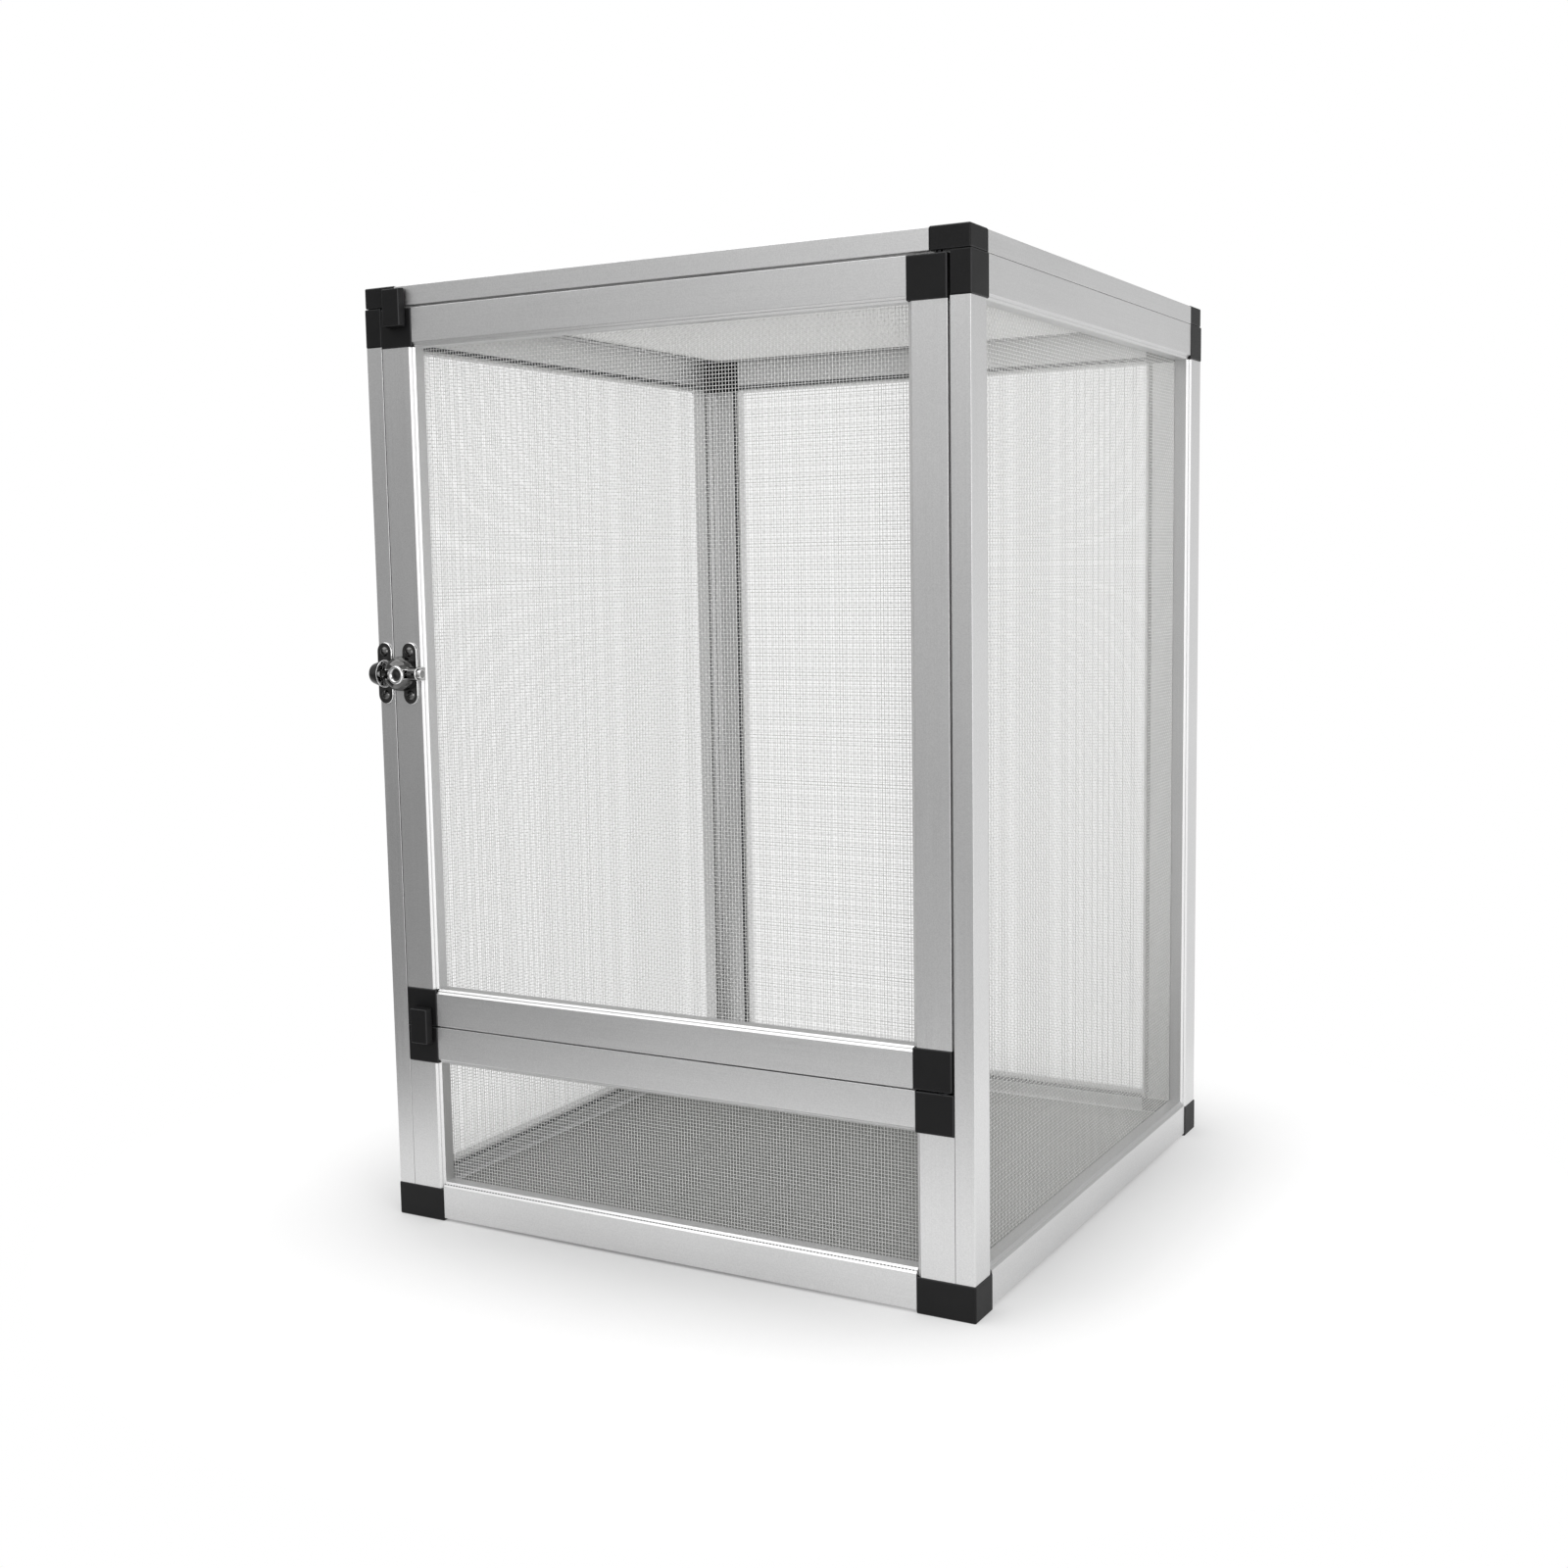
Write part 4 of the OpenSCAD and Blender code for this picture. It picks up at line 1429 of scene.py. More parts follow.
@dataclass
class MeshFloor:
    """The mesh floor with its folded margin, and the ledges that carry it.

    Attributes:
        half: Distance of the walls from the middle.
        gap: Gap between the mesh and the walls.
        pitch: Spacing of the strands.
        fold: Width of the folded edging.
        tuck: How far the mesh reaches into the edging.
        edging: Lower and upper side of the edging above the mesh's underside.
        edging_soft: Radius of the edging's corners, and of its rims.
        level: Height of the mesh's underside.
        ledge: Width of a ledge.
        drop: Height of a ledge.
        sheet: Thickness of a ledge.
        seam: Gap between two ledges.
    """

    half: float = INNER
    gap: float = 0.3
    pitch: float = 1.4
    fold: float = 1.7
    tuck: float = 0.5
    edging: tuple[float, float] = (0.02, 0.6)
    edging_soft: tuple[float, float] = (0.25, 0.2)
    level: float = 9.4
    ledge: float = 8.0
    drop: float = 6.5
    sheet: float = 1.2
    seam: float = 0.2

    def build_mesh(self) -> None:
        """Lays the woven floor and the folded edging round it."""
        edge = self.half - self.gap
        inside = edge - self.fold
        place = Placement((-edge, SHIFT - edge, self.level), *LEVEL_AXES)
        net = WireNet(pitch=self.pitch, hem_at=self.fold - self.tuck, hem=0.0)
        weave = net.skins(place, 2 * edge, 2 * edge)
        lay_piece("floor_mesh_weave", weave, DARK_AND_SHADED_FLOOR_WIRE, Body.FRAME, ["floor_mesh"])
        low, high = (self.level + side for side in self.edging)
        corner, rim = self.edging_soft
        bands = [
            GROUND.skin(rounded_prism(rectangle(first, last), corner, low, high, rim, 0.0, 2))
            for first, last in (
                ((-edge, -edge), (edge, -inside)), ((-edge, inside), (edge, edge)),
                ((-edge, -inside), (-inside, inside)), ((inside, -inside), (edge, inside)),
            )
        ]
        lay_piece("floor_mesh_edging", bands, EDGING, Body.FRAME, ["floor_mesh"])

    def build_ledges(self) -> None:
        """Lays the four angle strips along the bottom rails."""
        wide, thin = self.ledge, self.sheet
        corners = np.array([
            (0.0, -self.drop), (thin, -self.drop), (thin, -thin), (wide, -thin), (wide, 0.0),
            (0.0, 0.0),
        ])
        radii = np.array([0.3, 0.3, 0.5, 0.3, 0.3, 0.3])
        outline = rounded_outline(corners, radii, 3)
        wear_and_highlight = edge_weights(np.array([0.4, 0.4, 0.0, 0.8, 0.8, 0.2]), 3)
        half, short = self.half, self.half - self.ledge - self.seam
        runs = (
            (half, -half, BACK, LEFT, half), (-half, half, FRONT, RIGHT, half),
            (short, half, LEFT, FRONT, short), (-short, -half, RIGHT, BACK, short),
        )
        skins = []
        for number, (x, y, along, inward, reach) in enumerate(runs):
            place = Placement((x, y + SHIFT, self.level), along, inward, UP)
            skins.append(place.skin(swept(outline, 2 * reach, wear_and_highlight, LEDGE_SHIFT * number)))
        lay_piece("floor_ledges_angle", skins, ALUMINIUM, Body.FRAME, ["floor_ledges"])

    def build(self) -> None:
        """Lays the floor."""
        self.build_ledges()
        self.build_mesh()


# How far the round of a plate's ears stays below their half width
EAR_GAP = 0.05
# First try of the angle of the slot's walls, and the number of tries
SLOT_GUESS, SLOT_ROUNDS = 0.5, 8
# Weight of wear and painted highlight on the slot's lips
LIP_WEAR_AND_HIGHLIGHT = 0.8
# Share of a screw head's radius that its last row of points reaches
HEAD_SHARE = 0.998
# An end of the bolt: how far each ring lies inside its radius and its end, and its weight of
# wear and painted highlight. The last ring, at the far end only, keeps the shading of that end
# short
ROD_END = np.array([(0.7, 0.0, 0.3), (0.2, 0.15, 1.0), (0.0, 0.6, 0.5), (0.0, 2.4, 0.5)])
# The knob: radius of each ring, how far it lies below the rim, and its weight of wear and painted
# highlight, which paints a bright ring at the rim and leaves the dish dark
KNOB = np.array([
    (1.9, 3.3, 0.3), (2.05, 2.9, 0.3), (2.7, 2.5, 0.3), (4.1, 2.0, 0.4), (4.6, 1.75, 0.6),
    (4.8, 1.4, 0.7), (4.8, 0.7, 0.8), (4.68, 0.32, 1.0), (4.4, 0.08, 1.0), (4.0, 0.0, 1.0),
    (3.6, 0.08, 0.9), (3.25, 0.32, 0.6), (3.0, 0.8, 0.2), (2.8, 1.05, 0.0), (2.2, 1.15, 0.0),
    (1.2, 1.05, 0.0), (0.2, 0.95, 0.0),
])


@dataclass
class SlideBolt:
    """The small slide bolt: keeper, domed barrel, screws, and the bolt with its knob.

    Attributes:
        height: Height of the bolt above the ground.
        face: Distance of the front faces from the middle.
        keeper_x: Middle of the keeper.
        barrel_x: Middle of the barrel.
        keeper_l: Length of the keeper.
        barrel_l: Length of the barrel.
        axis: Distance of the bolt's axis in front of the faces.
        keeper_r: Radius of the keeper at its far end.
        mouth_r: Radius of the keeper's mouth.
        neck_r: Radius of the barrel's neck.
        dome: Radius of the barrel's dome, and its centre's distance from face and open end.
        bolt_r: Radius of the bolt.
        bolt_l: Length of the bolt.
        knob_in: Distance of the knob from the bolt's tip.
        knob_reach: Reach of the knob in front of the faces.
        ear: Radius of a plate's ears.
        span: Distance between a plate's screws.
        plate: Thickness of a plate.
        head: Radius and height of a screw's head.
        drive: Half width and depth of its slot.
        slot: Half width and length of the barrel's slot.
        bores: Radius of the keeper's bore and of the barrel's.
        rim: Radius of the softened rims.
        cap: Radius of the keeper's rounded far end.
        chamfer: Chamfer at both ends of a bore.
        lap: How far the barrel's two parts reach into each other.
        plate_rim: Radius of a plate's rims.
        turns: Angles of the slots of a plate's lower and upper screw, in radians.
    """

    height: float = 299.0
    face: float = OUTER
    keeper_x: float = -167.5
    barrel_x: float = -150.5
    keeper_l: float = 8.0
    barrel_l: float = 19.6
    axis: float = 5.4
    keeper_r: float = 5.0
    mouth_r: float = 7.5
    neck_r: float = 3.5
    dome: Triple = (9.3, 2.7, 5.2)
    bolt_r: float = 2.5
    bolt_l: float = 22.0
    knob_in: float = 11.8
    knob_reach: float = 15.5
    ear: float = 4.9
    span: float = 23.0
    plate: float = 1.2
    head: tuple[float, float] = (2.6, 1.6)
    drive: tuple[float, float] = (0.4, 0.7)
    slot: tuple[float, float] = (2.3, 14.1)
    bores: tuple[float, float] = (2.9, 2.58)
    rim: float = 0.4
    cap: float = 1.8
    chamfer: float = 0.2
    lap: float = 0.02
    plate_rim: float = 0.45
    turns: tuple[float, float] = (0.5, -0.9)

    def place(self, x: float) -> Placement:
        """Axes on the front face at a place along the bolt: X along the bolt, Y up, Z out."""
        return Placement((x, SHIFT - self.face, self.height), *FRONT_AXES)

    def base(self, angle: np.ndarray) -> np.ndarray:
        """Distance of the front face from the bolt's axis: axis / -sin a, boundless above it."""
        return self.axis / np.maximum(-np.sin(angle), LEAST)

    def arch(self, angle: np.ndarray, radius: float) -> np.ndarray:
        """Distance of a half-round body with a square foot from the bolt's axis.

        It is the radius above the axis, and the smaller of r / |cos a| and the front face's
        distance below it.

        Args:
            angle: Angles about the axis.
            radius: The body's radius.

        Returns:
            The distances.
        """
        side = radius / np.maximum(np.abs(np.cos(angle)), LEAST)
        return np.where(np.sin(angle) >= 0.0, radius, np.minimum(side, self.base(angle)))

    def barrel_outside(self, x: np.ndarray, angle: np.ndarray) -> np.ndarray:
        """Distance of the barrel's outside from the bolt's axis, the larger of dome and neck.

        With d the axis less the distance of the dome's centre, and x from that centre, the dome
        lies at sqrt(R^2 - x^2 - d^2 cos^2 a) - d sin a, cut off at the front face.

        Args:
            x: Places along the bolt, from the barrel's middle.
            angle: Angles about the axis.

        Returns:
            The distances.
        """
        radius, off, inside = self.dome
        drop, centre = self.axis - off, inside - self.barrel_l / 2
        root = radius * radius - (x - centre) ** 2 - (drop * np.cos(angle)) ** 2
        ball = np.sqrt(np.maximum(root, 0.0)) - drop * np.sin(angle)
        return np.maximum(np.minimum(ball, self.base(angle)), self.arch(angle, self.neck_r))

    def rings(self, x: np.ndarray, angle: np.ndarray, radius: np.ndarray) -> np.ndarray:
        """Points about the bolt's axis: (x, r cos a, axis + r sin a).

        Args:
            x: Places along the bolt, one for each ring.
            angle: Angles about the axis.
            radius: Distances from the axis.

        Returns:
            The points, by ring and place on it.
        """
        places = np.broadcast_arrays(x[:, None], angle, radius)
        across, out = radius * np.cos(angle), self.axis + radius * np.sin(angle)
        return np.stack([places[0], *np.broadcast_arrays(across, out)], axis=-1)

    @staticmethod
    def rounding(radius: float, steps: int) -> tuple[np.ndarray, np.ndarray, np.ndarray]:
        """A rounded end: (1 - cos a) r along, (1 - sin a) r inwards, with wear and painted
        highlight by sin 2a.

        Args:
            radius: Radius of the rounding.
            steps: Steps of its arc.

        Returns:
            How far each ring lies from the end, its inset and its weight of wear and painted
            highlight.
        """
        turn = np.linspace(0.0, math.pi / 2, steps + 1)
        along, inset = radius * (1.0 - np.cos(turn)), radius * (1.0 - np.sin(turn))
        return along, inset, 0.5 * np.cos(turn) + np.sin(2.0 * turn) * 0.7

    def bored(
        self, x: np.ndarray, outside: np.ndarray, bore: float, wear_and_highlight: np.ndarray
    ) -> Skin:
        """A bored body: its outside there, its bore back.

        Args:
            x: Places of the outside's rings.
            outside: Distances of their points from the axis.
            bore: Radius of the bore.
            wear_and_highlight: Weight of wear and painted highlight of each ring.

        Returns:
            The closed skin.
        """
        sides = outside.shape[1]
        angle = turn_angles(sides)
        cut = self.chamfer
        back = np.array([x[-1], x[-1] - cut, x[0] + cut, x[0]])
        hole = np.array([bore + cut, bore, bore, bore + cut])[:, None]
        radius = np.concatenate([outside, np.broadcast_to(hole, (4, sides))])
        places = np.concatenate([x, back])
        along = path_lengths(np.stack([places, radius[:, 0]], axis=-1), True)
        around = np.linspace(0.0, 2.0 * math.pi * self.keeper_r * MM, sides + 1)
        weight = np.concatenate([wear_and_highlight, [0.6, 0.0, 0.0, 0.6]])[None, :, None]
        return tubes(
            self.rings(places, angle, radius)[None], along[None], around[None], weight,
            looped=True,
        )

    def keeper_skin(self, sides: int = 56) -> Skin:
        """The keeper: a cone on a square foot, well rounded at its far end.

        Its outside is the larger of the foot and of the cone, whose radius grows evenly from
        the far end to the mouth and which is cut off at the front face.

        Args:
            sides: Points of each ring.

        Returns:
            The closed skin.
        """
        angle = turn_angles(sides)
        half = self.keeper_l / 2
        far, far_inset, far_wear_and_highlight = self.rounding(self.cap, 8)
        near, near_inset, near_wear_and_highlight = (part[::-1] for part in self.rounding(self.rim, 3))
        x = np.concatenate([far - half, half - near])
        inset = np.concatenate([far_inset, near_inset])[:, None]
        share = ((x + half) / self.keeper_l)[:, None]
        cone = self.keeper_r + share * (self.mouth_r - self.keeper_r)
        outside = np.minimum(cone, self.base(angle))
        outside = np.maximum(outside, self.arch(angle, self.keeper_r)) - inset
        wear_and_highlight = np.concatenate([far_wear_and_highlight * 0.2, near_wear_and_highlight])
        return self.bored(x, outside, self.bores[0], wear_and_highlight)

    def neck_skin(self, sides: int = 56) -> Skin:
        """The barrel behind its slot: the dome's back and the neck, with a softened end.

        Args:
            sides: Points of each ring.

        Returns:
            The closed skin.
        """
        angle = turn_angles(sides)
        half, start = self.barrel_l / 2, self.slot[1] - self.barrel_l / 2 - self.lap
        near, near_inset, near_wear_and_highlight = (part[::-1] for part in self.rounding(self.rim, 3))
        run = np.linspace(start, half - self.rim - STRIP, 8)
        x = np.concatenate([run, half - near])
        inset = np.concatenate([np.zeros(len(run)), near_inset])[:, None]
        return self.bored(
            x, self.barrel_outside(x[:, None], angle) - inset, self.bores[1],
            np.concatenate([np.zeros(len(run)), near_wear_and_highlight]),
        )

    def slotted_skin(self, points: int = 44) -> Skin:
        """The barrel along its slot, open on its outside for the knob's stem.

        The outside runs round from one wall of the slot to the other, where r cos a is plus or
        minus the slot's half width, and the bore runs back. The angle a is found by trying it
        again with the distance that it gives.

        Args:
            points: Points of each arc.

        Returns:
            The closed skin.
        """
        start, bore, width = -self.barrel_l / 2, self.bores[1], self.slot[0]
        end, end_inset, end_wear_and_highlight = self.rounding(self.rim, 3)
        run = np.linspace(self.rim + STRIP, self.slot[1], 22)
        x = np.concatenate([end, run])[:, None] + start
        inset = np.concatenate([end_inset, np.zeros(len(run))])[:, None]
        wide = np.full_like(x, SLOT_GUESS)
        for _ in range(SLOT_ROUNDS):
            reach = self.barrel_outside(x, math.pi / 2 + wide) - inset
            wide = np.arcsin(width / reach)
        narrow = math.asin(width / bore)
        share = np.linspace(0.0, 1.0, points)
        out_angle = math.pi / 2 + wide + share * 2.0 * (math.pi - wide)
        in_angle = (math.pi / 2 + narrow + share * 2.0 * (math.pi - narrow))[::-1]
        in_angle = np.broadcast_to(in_angle, out_angle.shape)
        outside = self.barrel_outside(x, out_angle) - inset
        angle = np.concatenate([out_angle, in_angle], axis=1)
        radius = np.concatenate([outside, np.full_like(outside, bore)], axis=1)
        rings = self.rings(x[:, 0], angle, radius)
        lip = np.where((share == 0.0) | (share == 1.0), LIP_WEAR_AND_HIGHLIGHT, 0.0)
        wear_and_highlight = np.concatenate([end_wear_and_highlight, np.zeros(len(run))])[:, None]
        wear_and_highlight = np.maximum(wear_and_highlight, np.concatenate([lip, lip]))
        along = (x[:, 0] - start) * MM
        around = path_lengths(rings[len(end)], True)
        return tubes(rings[None], along[None], around[None], wear_and_highlight[None])

    def plate_skin(self) -> Skin:
        """The long plate with round ends under a tunnel: a rounded prism.

        Returns:
            The closed skin.
        """
        half, corner = self.span / 2 + self.ear, self.ear - EAR_GAP
        outline = rectangle((-self.ear, -half), (self.ear, half))
        return rounded_prism(outline, corner, 0.0, self.plate, self.plate_rim, 0.0, 8)

    def screw_skins(self) -> list[Skin]:
        """A domed head with a slot: a ball's cap, cut along the slot.

        The cap's height is h - R + sqrt(R^2 - r^2), with R the ball's radius.

        Returns:
            Two half domes and the slot's floor.
        """
        (radius, tall), (half, deep) = self.head, self.drive
        ball = (radius * radius + tall * tall) / (2.0 * tall)

        def cap(x: np.ndarray, y: np.ndarray) -> np.ndarray:
            """Height of the ball's cap."""
            return tall - ball + np.sqrt(np.maximum(ball * ball - x * x - y * y, 0.0))

        last = radius * HEAD_SHARE
        rows = half + (last - half) * np.sin(np.linspace(0.0, math.pi / 2, 9))
        y = np.concatenate([[half], rows])[:, None]
        sweep = -np.cos(np.linspace(0.0, math.pi, 21))[None]
        x = np.sqrt(radius * radius - y * y) * sweep
        y = np.broadcast_to(y, x.shape)
        z = np.maximum(cap(x, y), 0.0)
        z[0] = np.minimum(z[0], tall - deep)
        dome = np.stack([x, y, z], axis=-1)
        floor = np.stack([dome[0] * (1, -1, 1), dome[0]])
        return [open_sheet(part) for part in (dome, dome * (-1, -1, 1), floor)]

    def build_plate(self, name: str, x: float, body: Body, tunnels: Sequence[Skin]) -> None:
        """Lays a plate with its tunnel, and its two screws.

        Args:
            name: The plate's solid.
            x: Its middle along the bolt.
            body: The body that it is screwed to.
            tunnels: Skins of its tunnel.
        """
        place = self.place(x)
        skins = [place.skin(skin) for skin in (self.plate_skin(), *tunnels)]
        lay_piece(f"latch_{name}_stamping", skins, CHROME, body, [f"latch_{name}"])
        heads = []
        for end, turn in zip((-1, 1), self.turns):
            cosine, sine = math.cos(turn), math.sin(turn)
            spin = np.array([(cosine, sine, 0.0), (-sine, cosine, 0.0), (0.0, 0.0, 1.0)])
            centre = np.array((0.0, end * self.span / 2, self.plate))
            for skin in self.screw_skins():
                moved = Skin(skin.points @ spin + centre, skin.faces, skin.maps, skin.wear_and_highlight)
                heads.append(place.skin(moved))
        lay_piece(f"{name}_screw_heads", heads, CHROME, body, [f"{name}_screws"])

    def build_bolt(self) -> None:
        """Lays the bolt: a round rod with softened ends, and a knob with a dished end."""
        tip = self.barrel_x - self.barrel_l / 2
        origin = (tip, SHIFT - self.face - self.axis, self.height)
        rod_place = Placement(origin, UP, FRONT, RIGHT)
        near = ROD_END[:-1] * (-1.0, 1.0, 1.0) + (self.bolt_r, 0.0, 0.0)
        far = (ROD_END * (-1.0, -1.0, 1.0) + (self.bolt_r, self.bolt_l, 0.0))[::-1]
        rod = revolved(np.concatenate([near, far]), 40)
        shape = KNOB * (1.0, -1.0, 1.0) + (0.0, self.knob_reach - self.axis, 0.0)
        stem = shape[:1] * (1.0, 0.0, 1.0)
        knob = revolved(np.concatenate([stem, shape]), 48)
        knob_at = (tip + self.knob_in, SHIFT - self.face - self.axis, self.height)
        knob_place = Placement(knob_at, *FRONT_AXES)
        lay_piece(
            "latch_bolt_and_knob", [rod_place.skin(rod), knob_place.skin(knob)], CHROME,
            Body.BOLT, ["latch_bolt"],
        )

    def build(self) -> None:
        """Lays the whole slide bolt."""
        self.build_plate("keeper", self.keeper_x, Body.FRAME, [self.keeper_skin()])
        barrel = [self.slotted_skin(), self.neck_skin()]
        self.build_plate("barrel", self.barrel_x, Body.DOOR, barrel)
        self.build_bolt()


@dataclass
class HiddenPins:
    """The pins and the washer, which keep their solids and get a finish.

    Attributes:
        bright: Names of the bright solids.
        gap_shaded: Names of the ones made near black, as painted shade in the pivot gaps.
    """

    bright: tuple[str, ...] = ("joining_pins",)
    gap_shaded: tuple[str, ...] = ("hinge_pins", "hinge_washer")

    def dress(self) -> None:
        """Gives each solid its turned steel finish."""
        for nodes, finish in ((self.bright, STEEL), (self.gap_shaded, GAP_SHADE_STEEL)):
            for node in nodes:
                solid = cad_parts[node]
                if not solid.material_slots:
                    solid.data.materials.append(None)
                for slot in solid.material_slots:
                    slot.material = finish.material()
                LOG.info("%s: kept, in %s", node, finish.title)


@dataclass
class Studio:
    """Floor, light and camera.

    Attributes:
        eye: Camera place in metres.
        azimuth: Where the camera looks, in degrees from the front, to the right.
        elevation: How far it looks up, in degrees.
        roll: How far it leans, in degrees.
        lens: Focal length, in millimetres.
        sensor: Width of the camera's frame, in millimetres.
        nearest: Nearest distance that the camera sees, in metres.
        back: Light of the backdrop straight behind the cage.
        lean: How much the backdrop brightens to the right.
        fade: How fast the backdrop darkens upwards.
        middle: Light of the room straight in front of the cage.
        slope: How much the room brightens to the right.
        dim: Least light of the room.
        roof: Most light of the room.
        tilt: How fast the room brightens upwards at the horizon.
        low: Least share of light below the horizon.
        high: Most share of light above it.
        crest: Height from which the sky darkens again, as the sine of its angle.
        drop: How much it darkens from there.
        dusk: Least share of the backdrop's light overhead.
        wing: Share of the backdrop straight to the side, and how fast it grows to the back.
        disc: Radius of the floor, in metres.
        sides: Sides of its rim.
        grey: Lightness of its matt colour.
        foot: Distance from the middle at which the floor starts to lighten, in metres.
        open: Distance at which it is lightest, in metres.
        shade: Light that the floor gives by itself beside the cage.
        clear: Light that it gives out in the open.
        right: How much it gains for each metre to the right.
        start: Distance at which it starts to pass into the backdrop, in metres.
        whole: Share of its radius at which it has wholly passed into it.
        spill: Share of the rim's light that falls back on the cage.
        aim: The point that the softboxes face, in metres.
        lamps: Place, width, height and power of each softbox, by its name.
    """

    eye: Triple = (0.5052, -0.93825, 0.3516)
    azimuth: float = -29.094
    elevation: float = -6.585
    roll: float = -0.935
    lens: float = 43.04
    sensor: float = 36.0
    nearest: float = 0.01
    back: float = 0.82
    lean: float = 0.15
    fade: float = 1.8
    middle: float = 0.93
    slope: float = 1.0
    dim: float = 0.21
    roof: float = 1.15
    tilt: float = 2.8
    low: float = 0.6
    high: float = 1.5
    crest: float = 0.35
    drop: float = 0.7
    dusk: float = 0.55
    wing: tuple[float, float] = (0.5, 2.0)
    disc: float = 0.44
    sides: int = 96
    grey: float = 0.50
    foot: float = 0.15
    open: float = 0.37
    shade: float = 0.08
    clear: float = 0.62
    right: float = 0.9
    start: float = 0.23
    whole: float = 0.98
    spill: float = 0.5
    aim: Triple = (0.0, 0.0, 0.3)
    lamps: Mapping[str, tuple[Triple, float, float, float]] = field(default_factory=lambda: {
        "side_softbox": ((1.35, -0.85, 0.62), 0.7, 1.2, 5.5),
        "top_softbox": ((-0.35, -0.4, 1.5), 1.5, 1.5, 12.5),
    })

    def paint_floor(self, bench: NodeBench) -> None:
        """Paints the floor, which gives light by itself to the rays that are seen.

        That light grows from the square foot of the cage outwards, with the fourth root of
        x^4 + y^4, and towards the rim the floor passes into plain white.

        Args:
            bench: The bench of the floor's tree.
        """
        flag = bench.ray("Camera").most(bench.ray("Glossy")).most(bench.ray("Transmission"))
        across, deep, _ = bench.parts(bench.place())
        wide, long = across * across, deep * deep
        reach = (wide * wide + long * long) ** 0.25
        away = ((reach - self.foot) * (1.0 / (self.open - self.foot))).clamped()
        away = away * (2.0 - away) + across.most(0.0) * self.right
        glow = bench.emission(flag * (self.shade + away * (self.clear - self.shade)))
        colour = (self.grey, self.grey, self.grey, 1.0)
        matt = bench.node("ShaderNodeBsdfDiffuse", None, {"Color": colour})
        near = bench.node("ShaderNodeAddShader", None, {0: matt, 1: glow})
        far = bench.emission(self.spill + flag * (1.0 - self.spill))
        passed = ((wide + long) ** 0.5 - self.start) * (
            1.0 / (self.disc * self.whole - self.start)
        )
        both = bench.node("ShaderNodeMixShader", None, {0: passed.clamped(), 1: near, 2: far})
        bench.node("ShaderNodeOutputMaterial", None, {"Surface": both})

    def build_floor(self) -> None:
        """Lays the pale round floor: a point of its rim is the radius times (cos a, sin a, 0)."""
        angle = turn_angles(self.sides)
        rim = np.stack([np.cos(angle), np.sin(angle), 0.0 * angle], axis=-1) * self.disc
        mesh = bpy.data.meshes.new("studio_floor")
        mesh.from_pydata(rim.tolist(), [], [list(range(self.sides))])
        material = bpy.data.materials.new("studio_floor")
        material.use_nodes = True
        self.paint_floor(NodeBench(material.node_tree))
        mesh.materials.append(material)
        floor = put_in_scene("studio_floor", mesh)

    def build_world(self) -> None:
        """White backdrop for the camera, and a room that is darker in front of the cage.

        The room brightens from left to right and upwards, and the backdrop closes it behind.
        """
        world = bpy.data.worlds.new("studio")
        bpy.context.scene.world = world
        world.use_nodes = True
        bench = NodeBench(world.node_tree)
        right, ahead, up = bench.parts(bench.node("ShaderNodeTexCoord", None, None, "Generated"))
        behind = (self.wing[0] + ahead * self.wing[1]).clamped()
        tilted = (1.0 + up * self.tilt).most(self.low).least(self.high)
        before = (self.middle + right * self.slope).most(self.dim) * tilted
        before = before.least(self.roof) * (1.0 - (up - self.crest).most(0.0) * self.drop)
        screen = (1.0 - up.most(0.0) * self.fade).most(self.dusk)
        screen = screen * (self.back + right * self.lean)
        level = before + behind * (screen - before)
        room = bench.node("ShaderNodeBackground", None, {"Color": WHITE, "Strength": level})
        backdrop = bench.node("ShaderNodeBackground", None, {"Color": WHITE, "Strength": 1.0})
        share = bench.ray("Camera")
        both = bench.node("ShaderNodeMixShader", None, {0: share, 1: room, 2: backdrop})
        bench.node("ShaderNodeOutputWorld", None, {"Surface": both})

    def build_light(self) -> None:
        """Sets up the softboxes, each of them turned towards one point."""
        for name, (spot, width, height, power) in self.lamps.items():
            softbox = bpy.data.lights.new(name, "AREA")
            softbox.shape = "RECTANGLE"
            softbox.size, softbox.size_y = width, height
            softbox.energy = power
            stand = put_in_scene(name, softbox)
            stand.location = spot
            back = Vector(spot) - Vector(self.aim)
            stand.rotation_euler = back.to_track_quat("Z", "Y").to_euler()

    def build_camera(self) -> None:
        """Sets the camera: its axes follow from azimuth, elevation and roll."""
        turn, lift, lean = map(math.radians, (self.azimuth, self.elevation, self.roll))
        ahead = Vector((
            math.sin(turn) * math.cos(lift), math.cos(turn) * math.cos(lift), math.sin(lift)
        ))
        level = ahead.cross(Vector(UP)).normalized()
        upright = level.cross(ahead)
        right = level * math.cos(lean) + upright * math.sin(lean)
        up = upright * math.cos(lean) - level * math.sin(lean)
        camera = bpy.data.cameras.new("camera")
        camera.sensor_fit = "HORIZONTAL"
        camera.sensor_width = self.sensor
        camera.lens = self.lens
        camera.clip_start = self.nearest
        holder = put_in_scene("camera", camera)
        axes = Matrix((right, up, -ahead)).transposed().to_4x4()
        holder.matrix_world = Matrix.Translation(self.eye) @ axes
        bpy.context.scene.camera = holder

    def build(self) -> None:
        """Sets up the studio."""
        bpy.context.scene.view_settings.view_transform = "Standard"
        self.build_camera()
        self.build_floor()
        self.build_world()
        self.build_light()


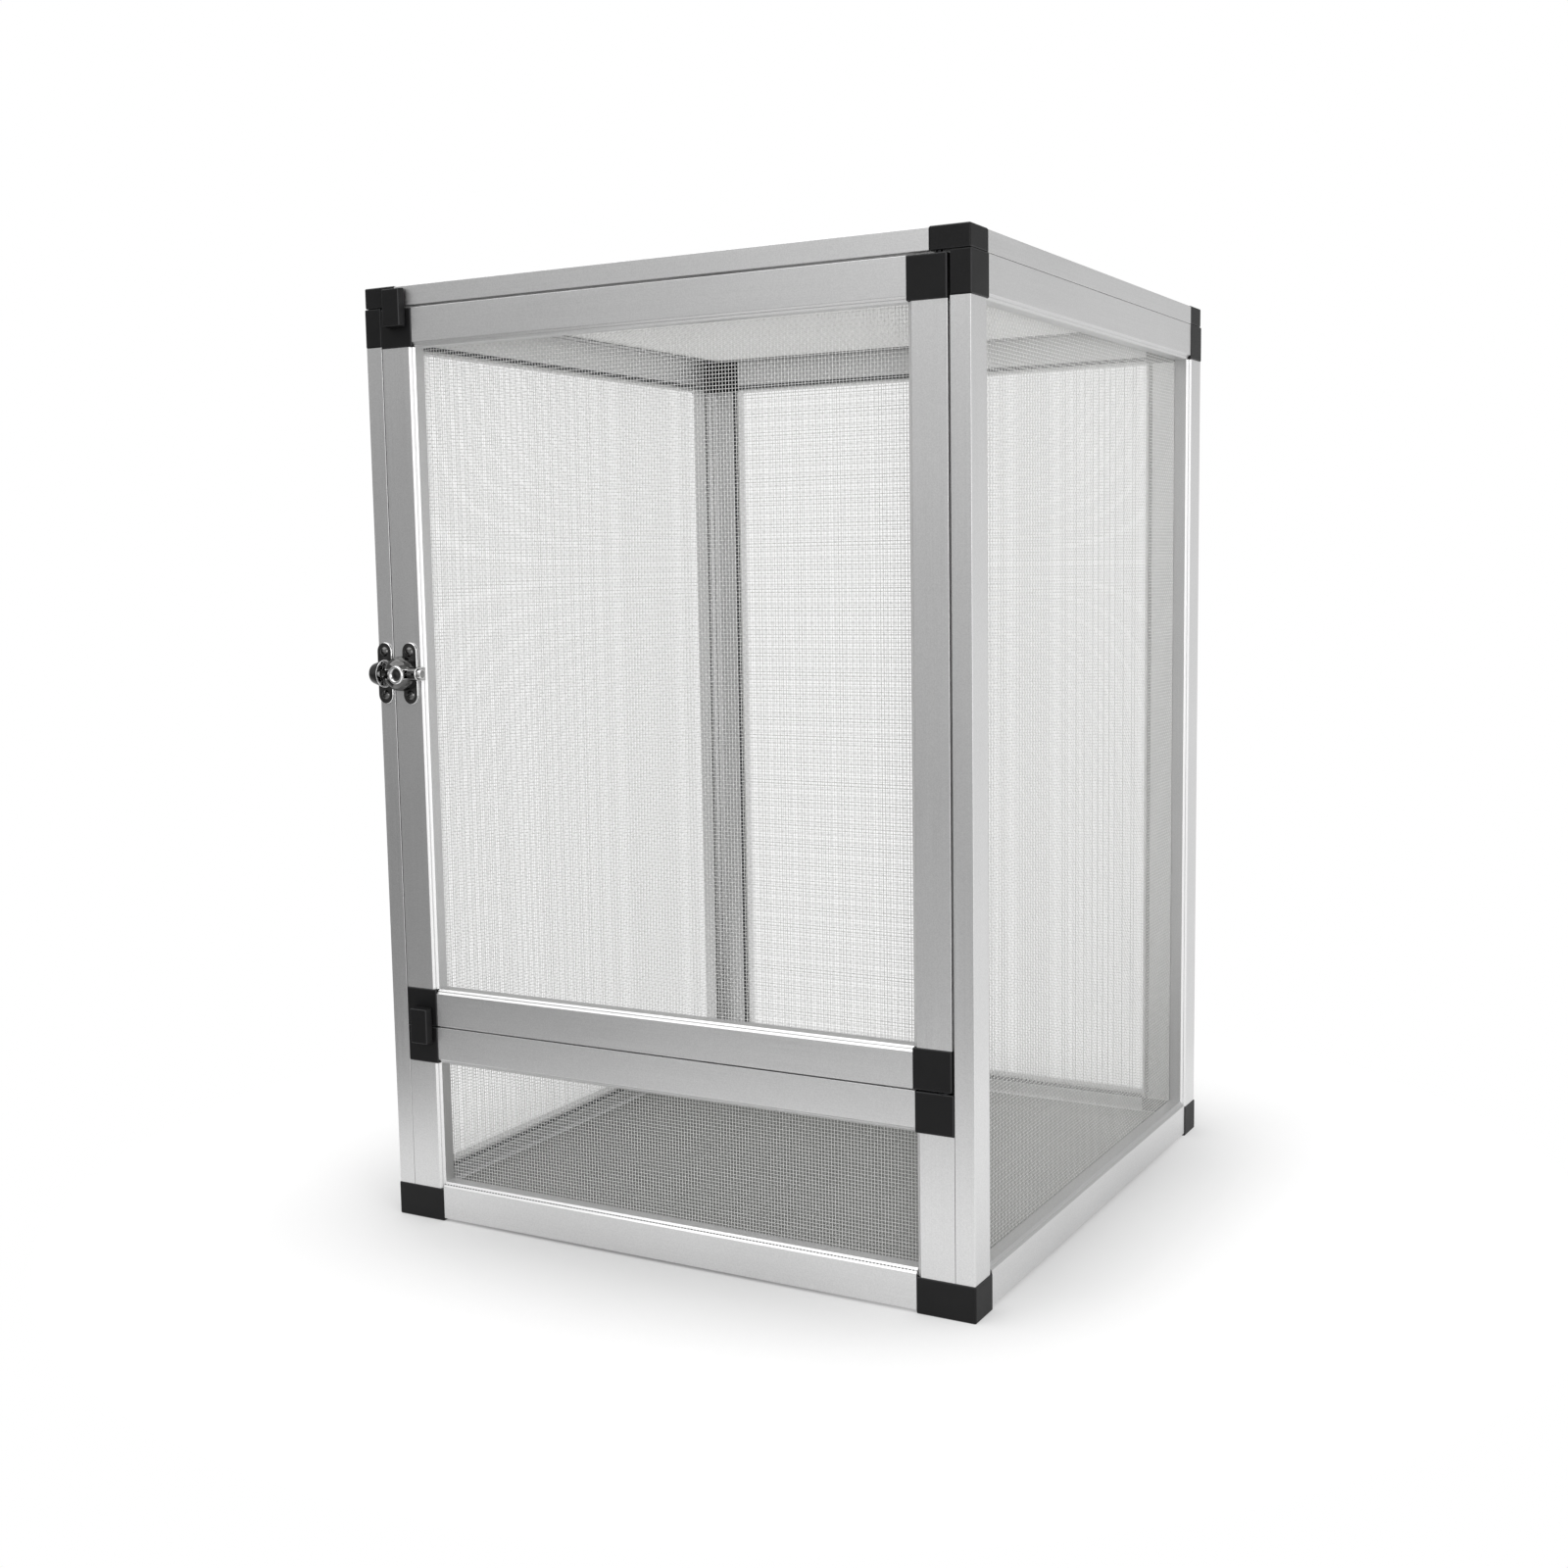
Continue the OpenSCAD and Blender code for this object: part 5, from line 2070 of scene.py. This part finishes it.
def main() -> None:
    """Builds the studio and the cage in order."""
    logging.basicConfig(level=logging.INFO, format="%(name)s %(message)s")
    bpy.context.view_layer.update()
    Studio().build()
    Cage().build(WireNet())
    CornerFeet().build()
    StopTabs().build()
    MeshFloor().build()
    SlideBolt().build()
    HiddenPins().dress()
    bpy.context.view_layer.update()


if __name__ == "__main__":
    main()
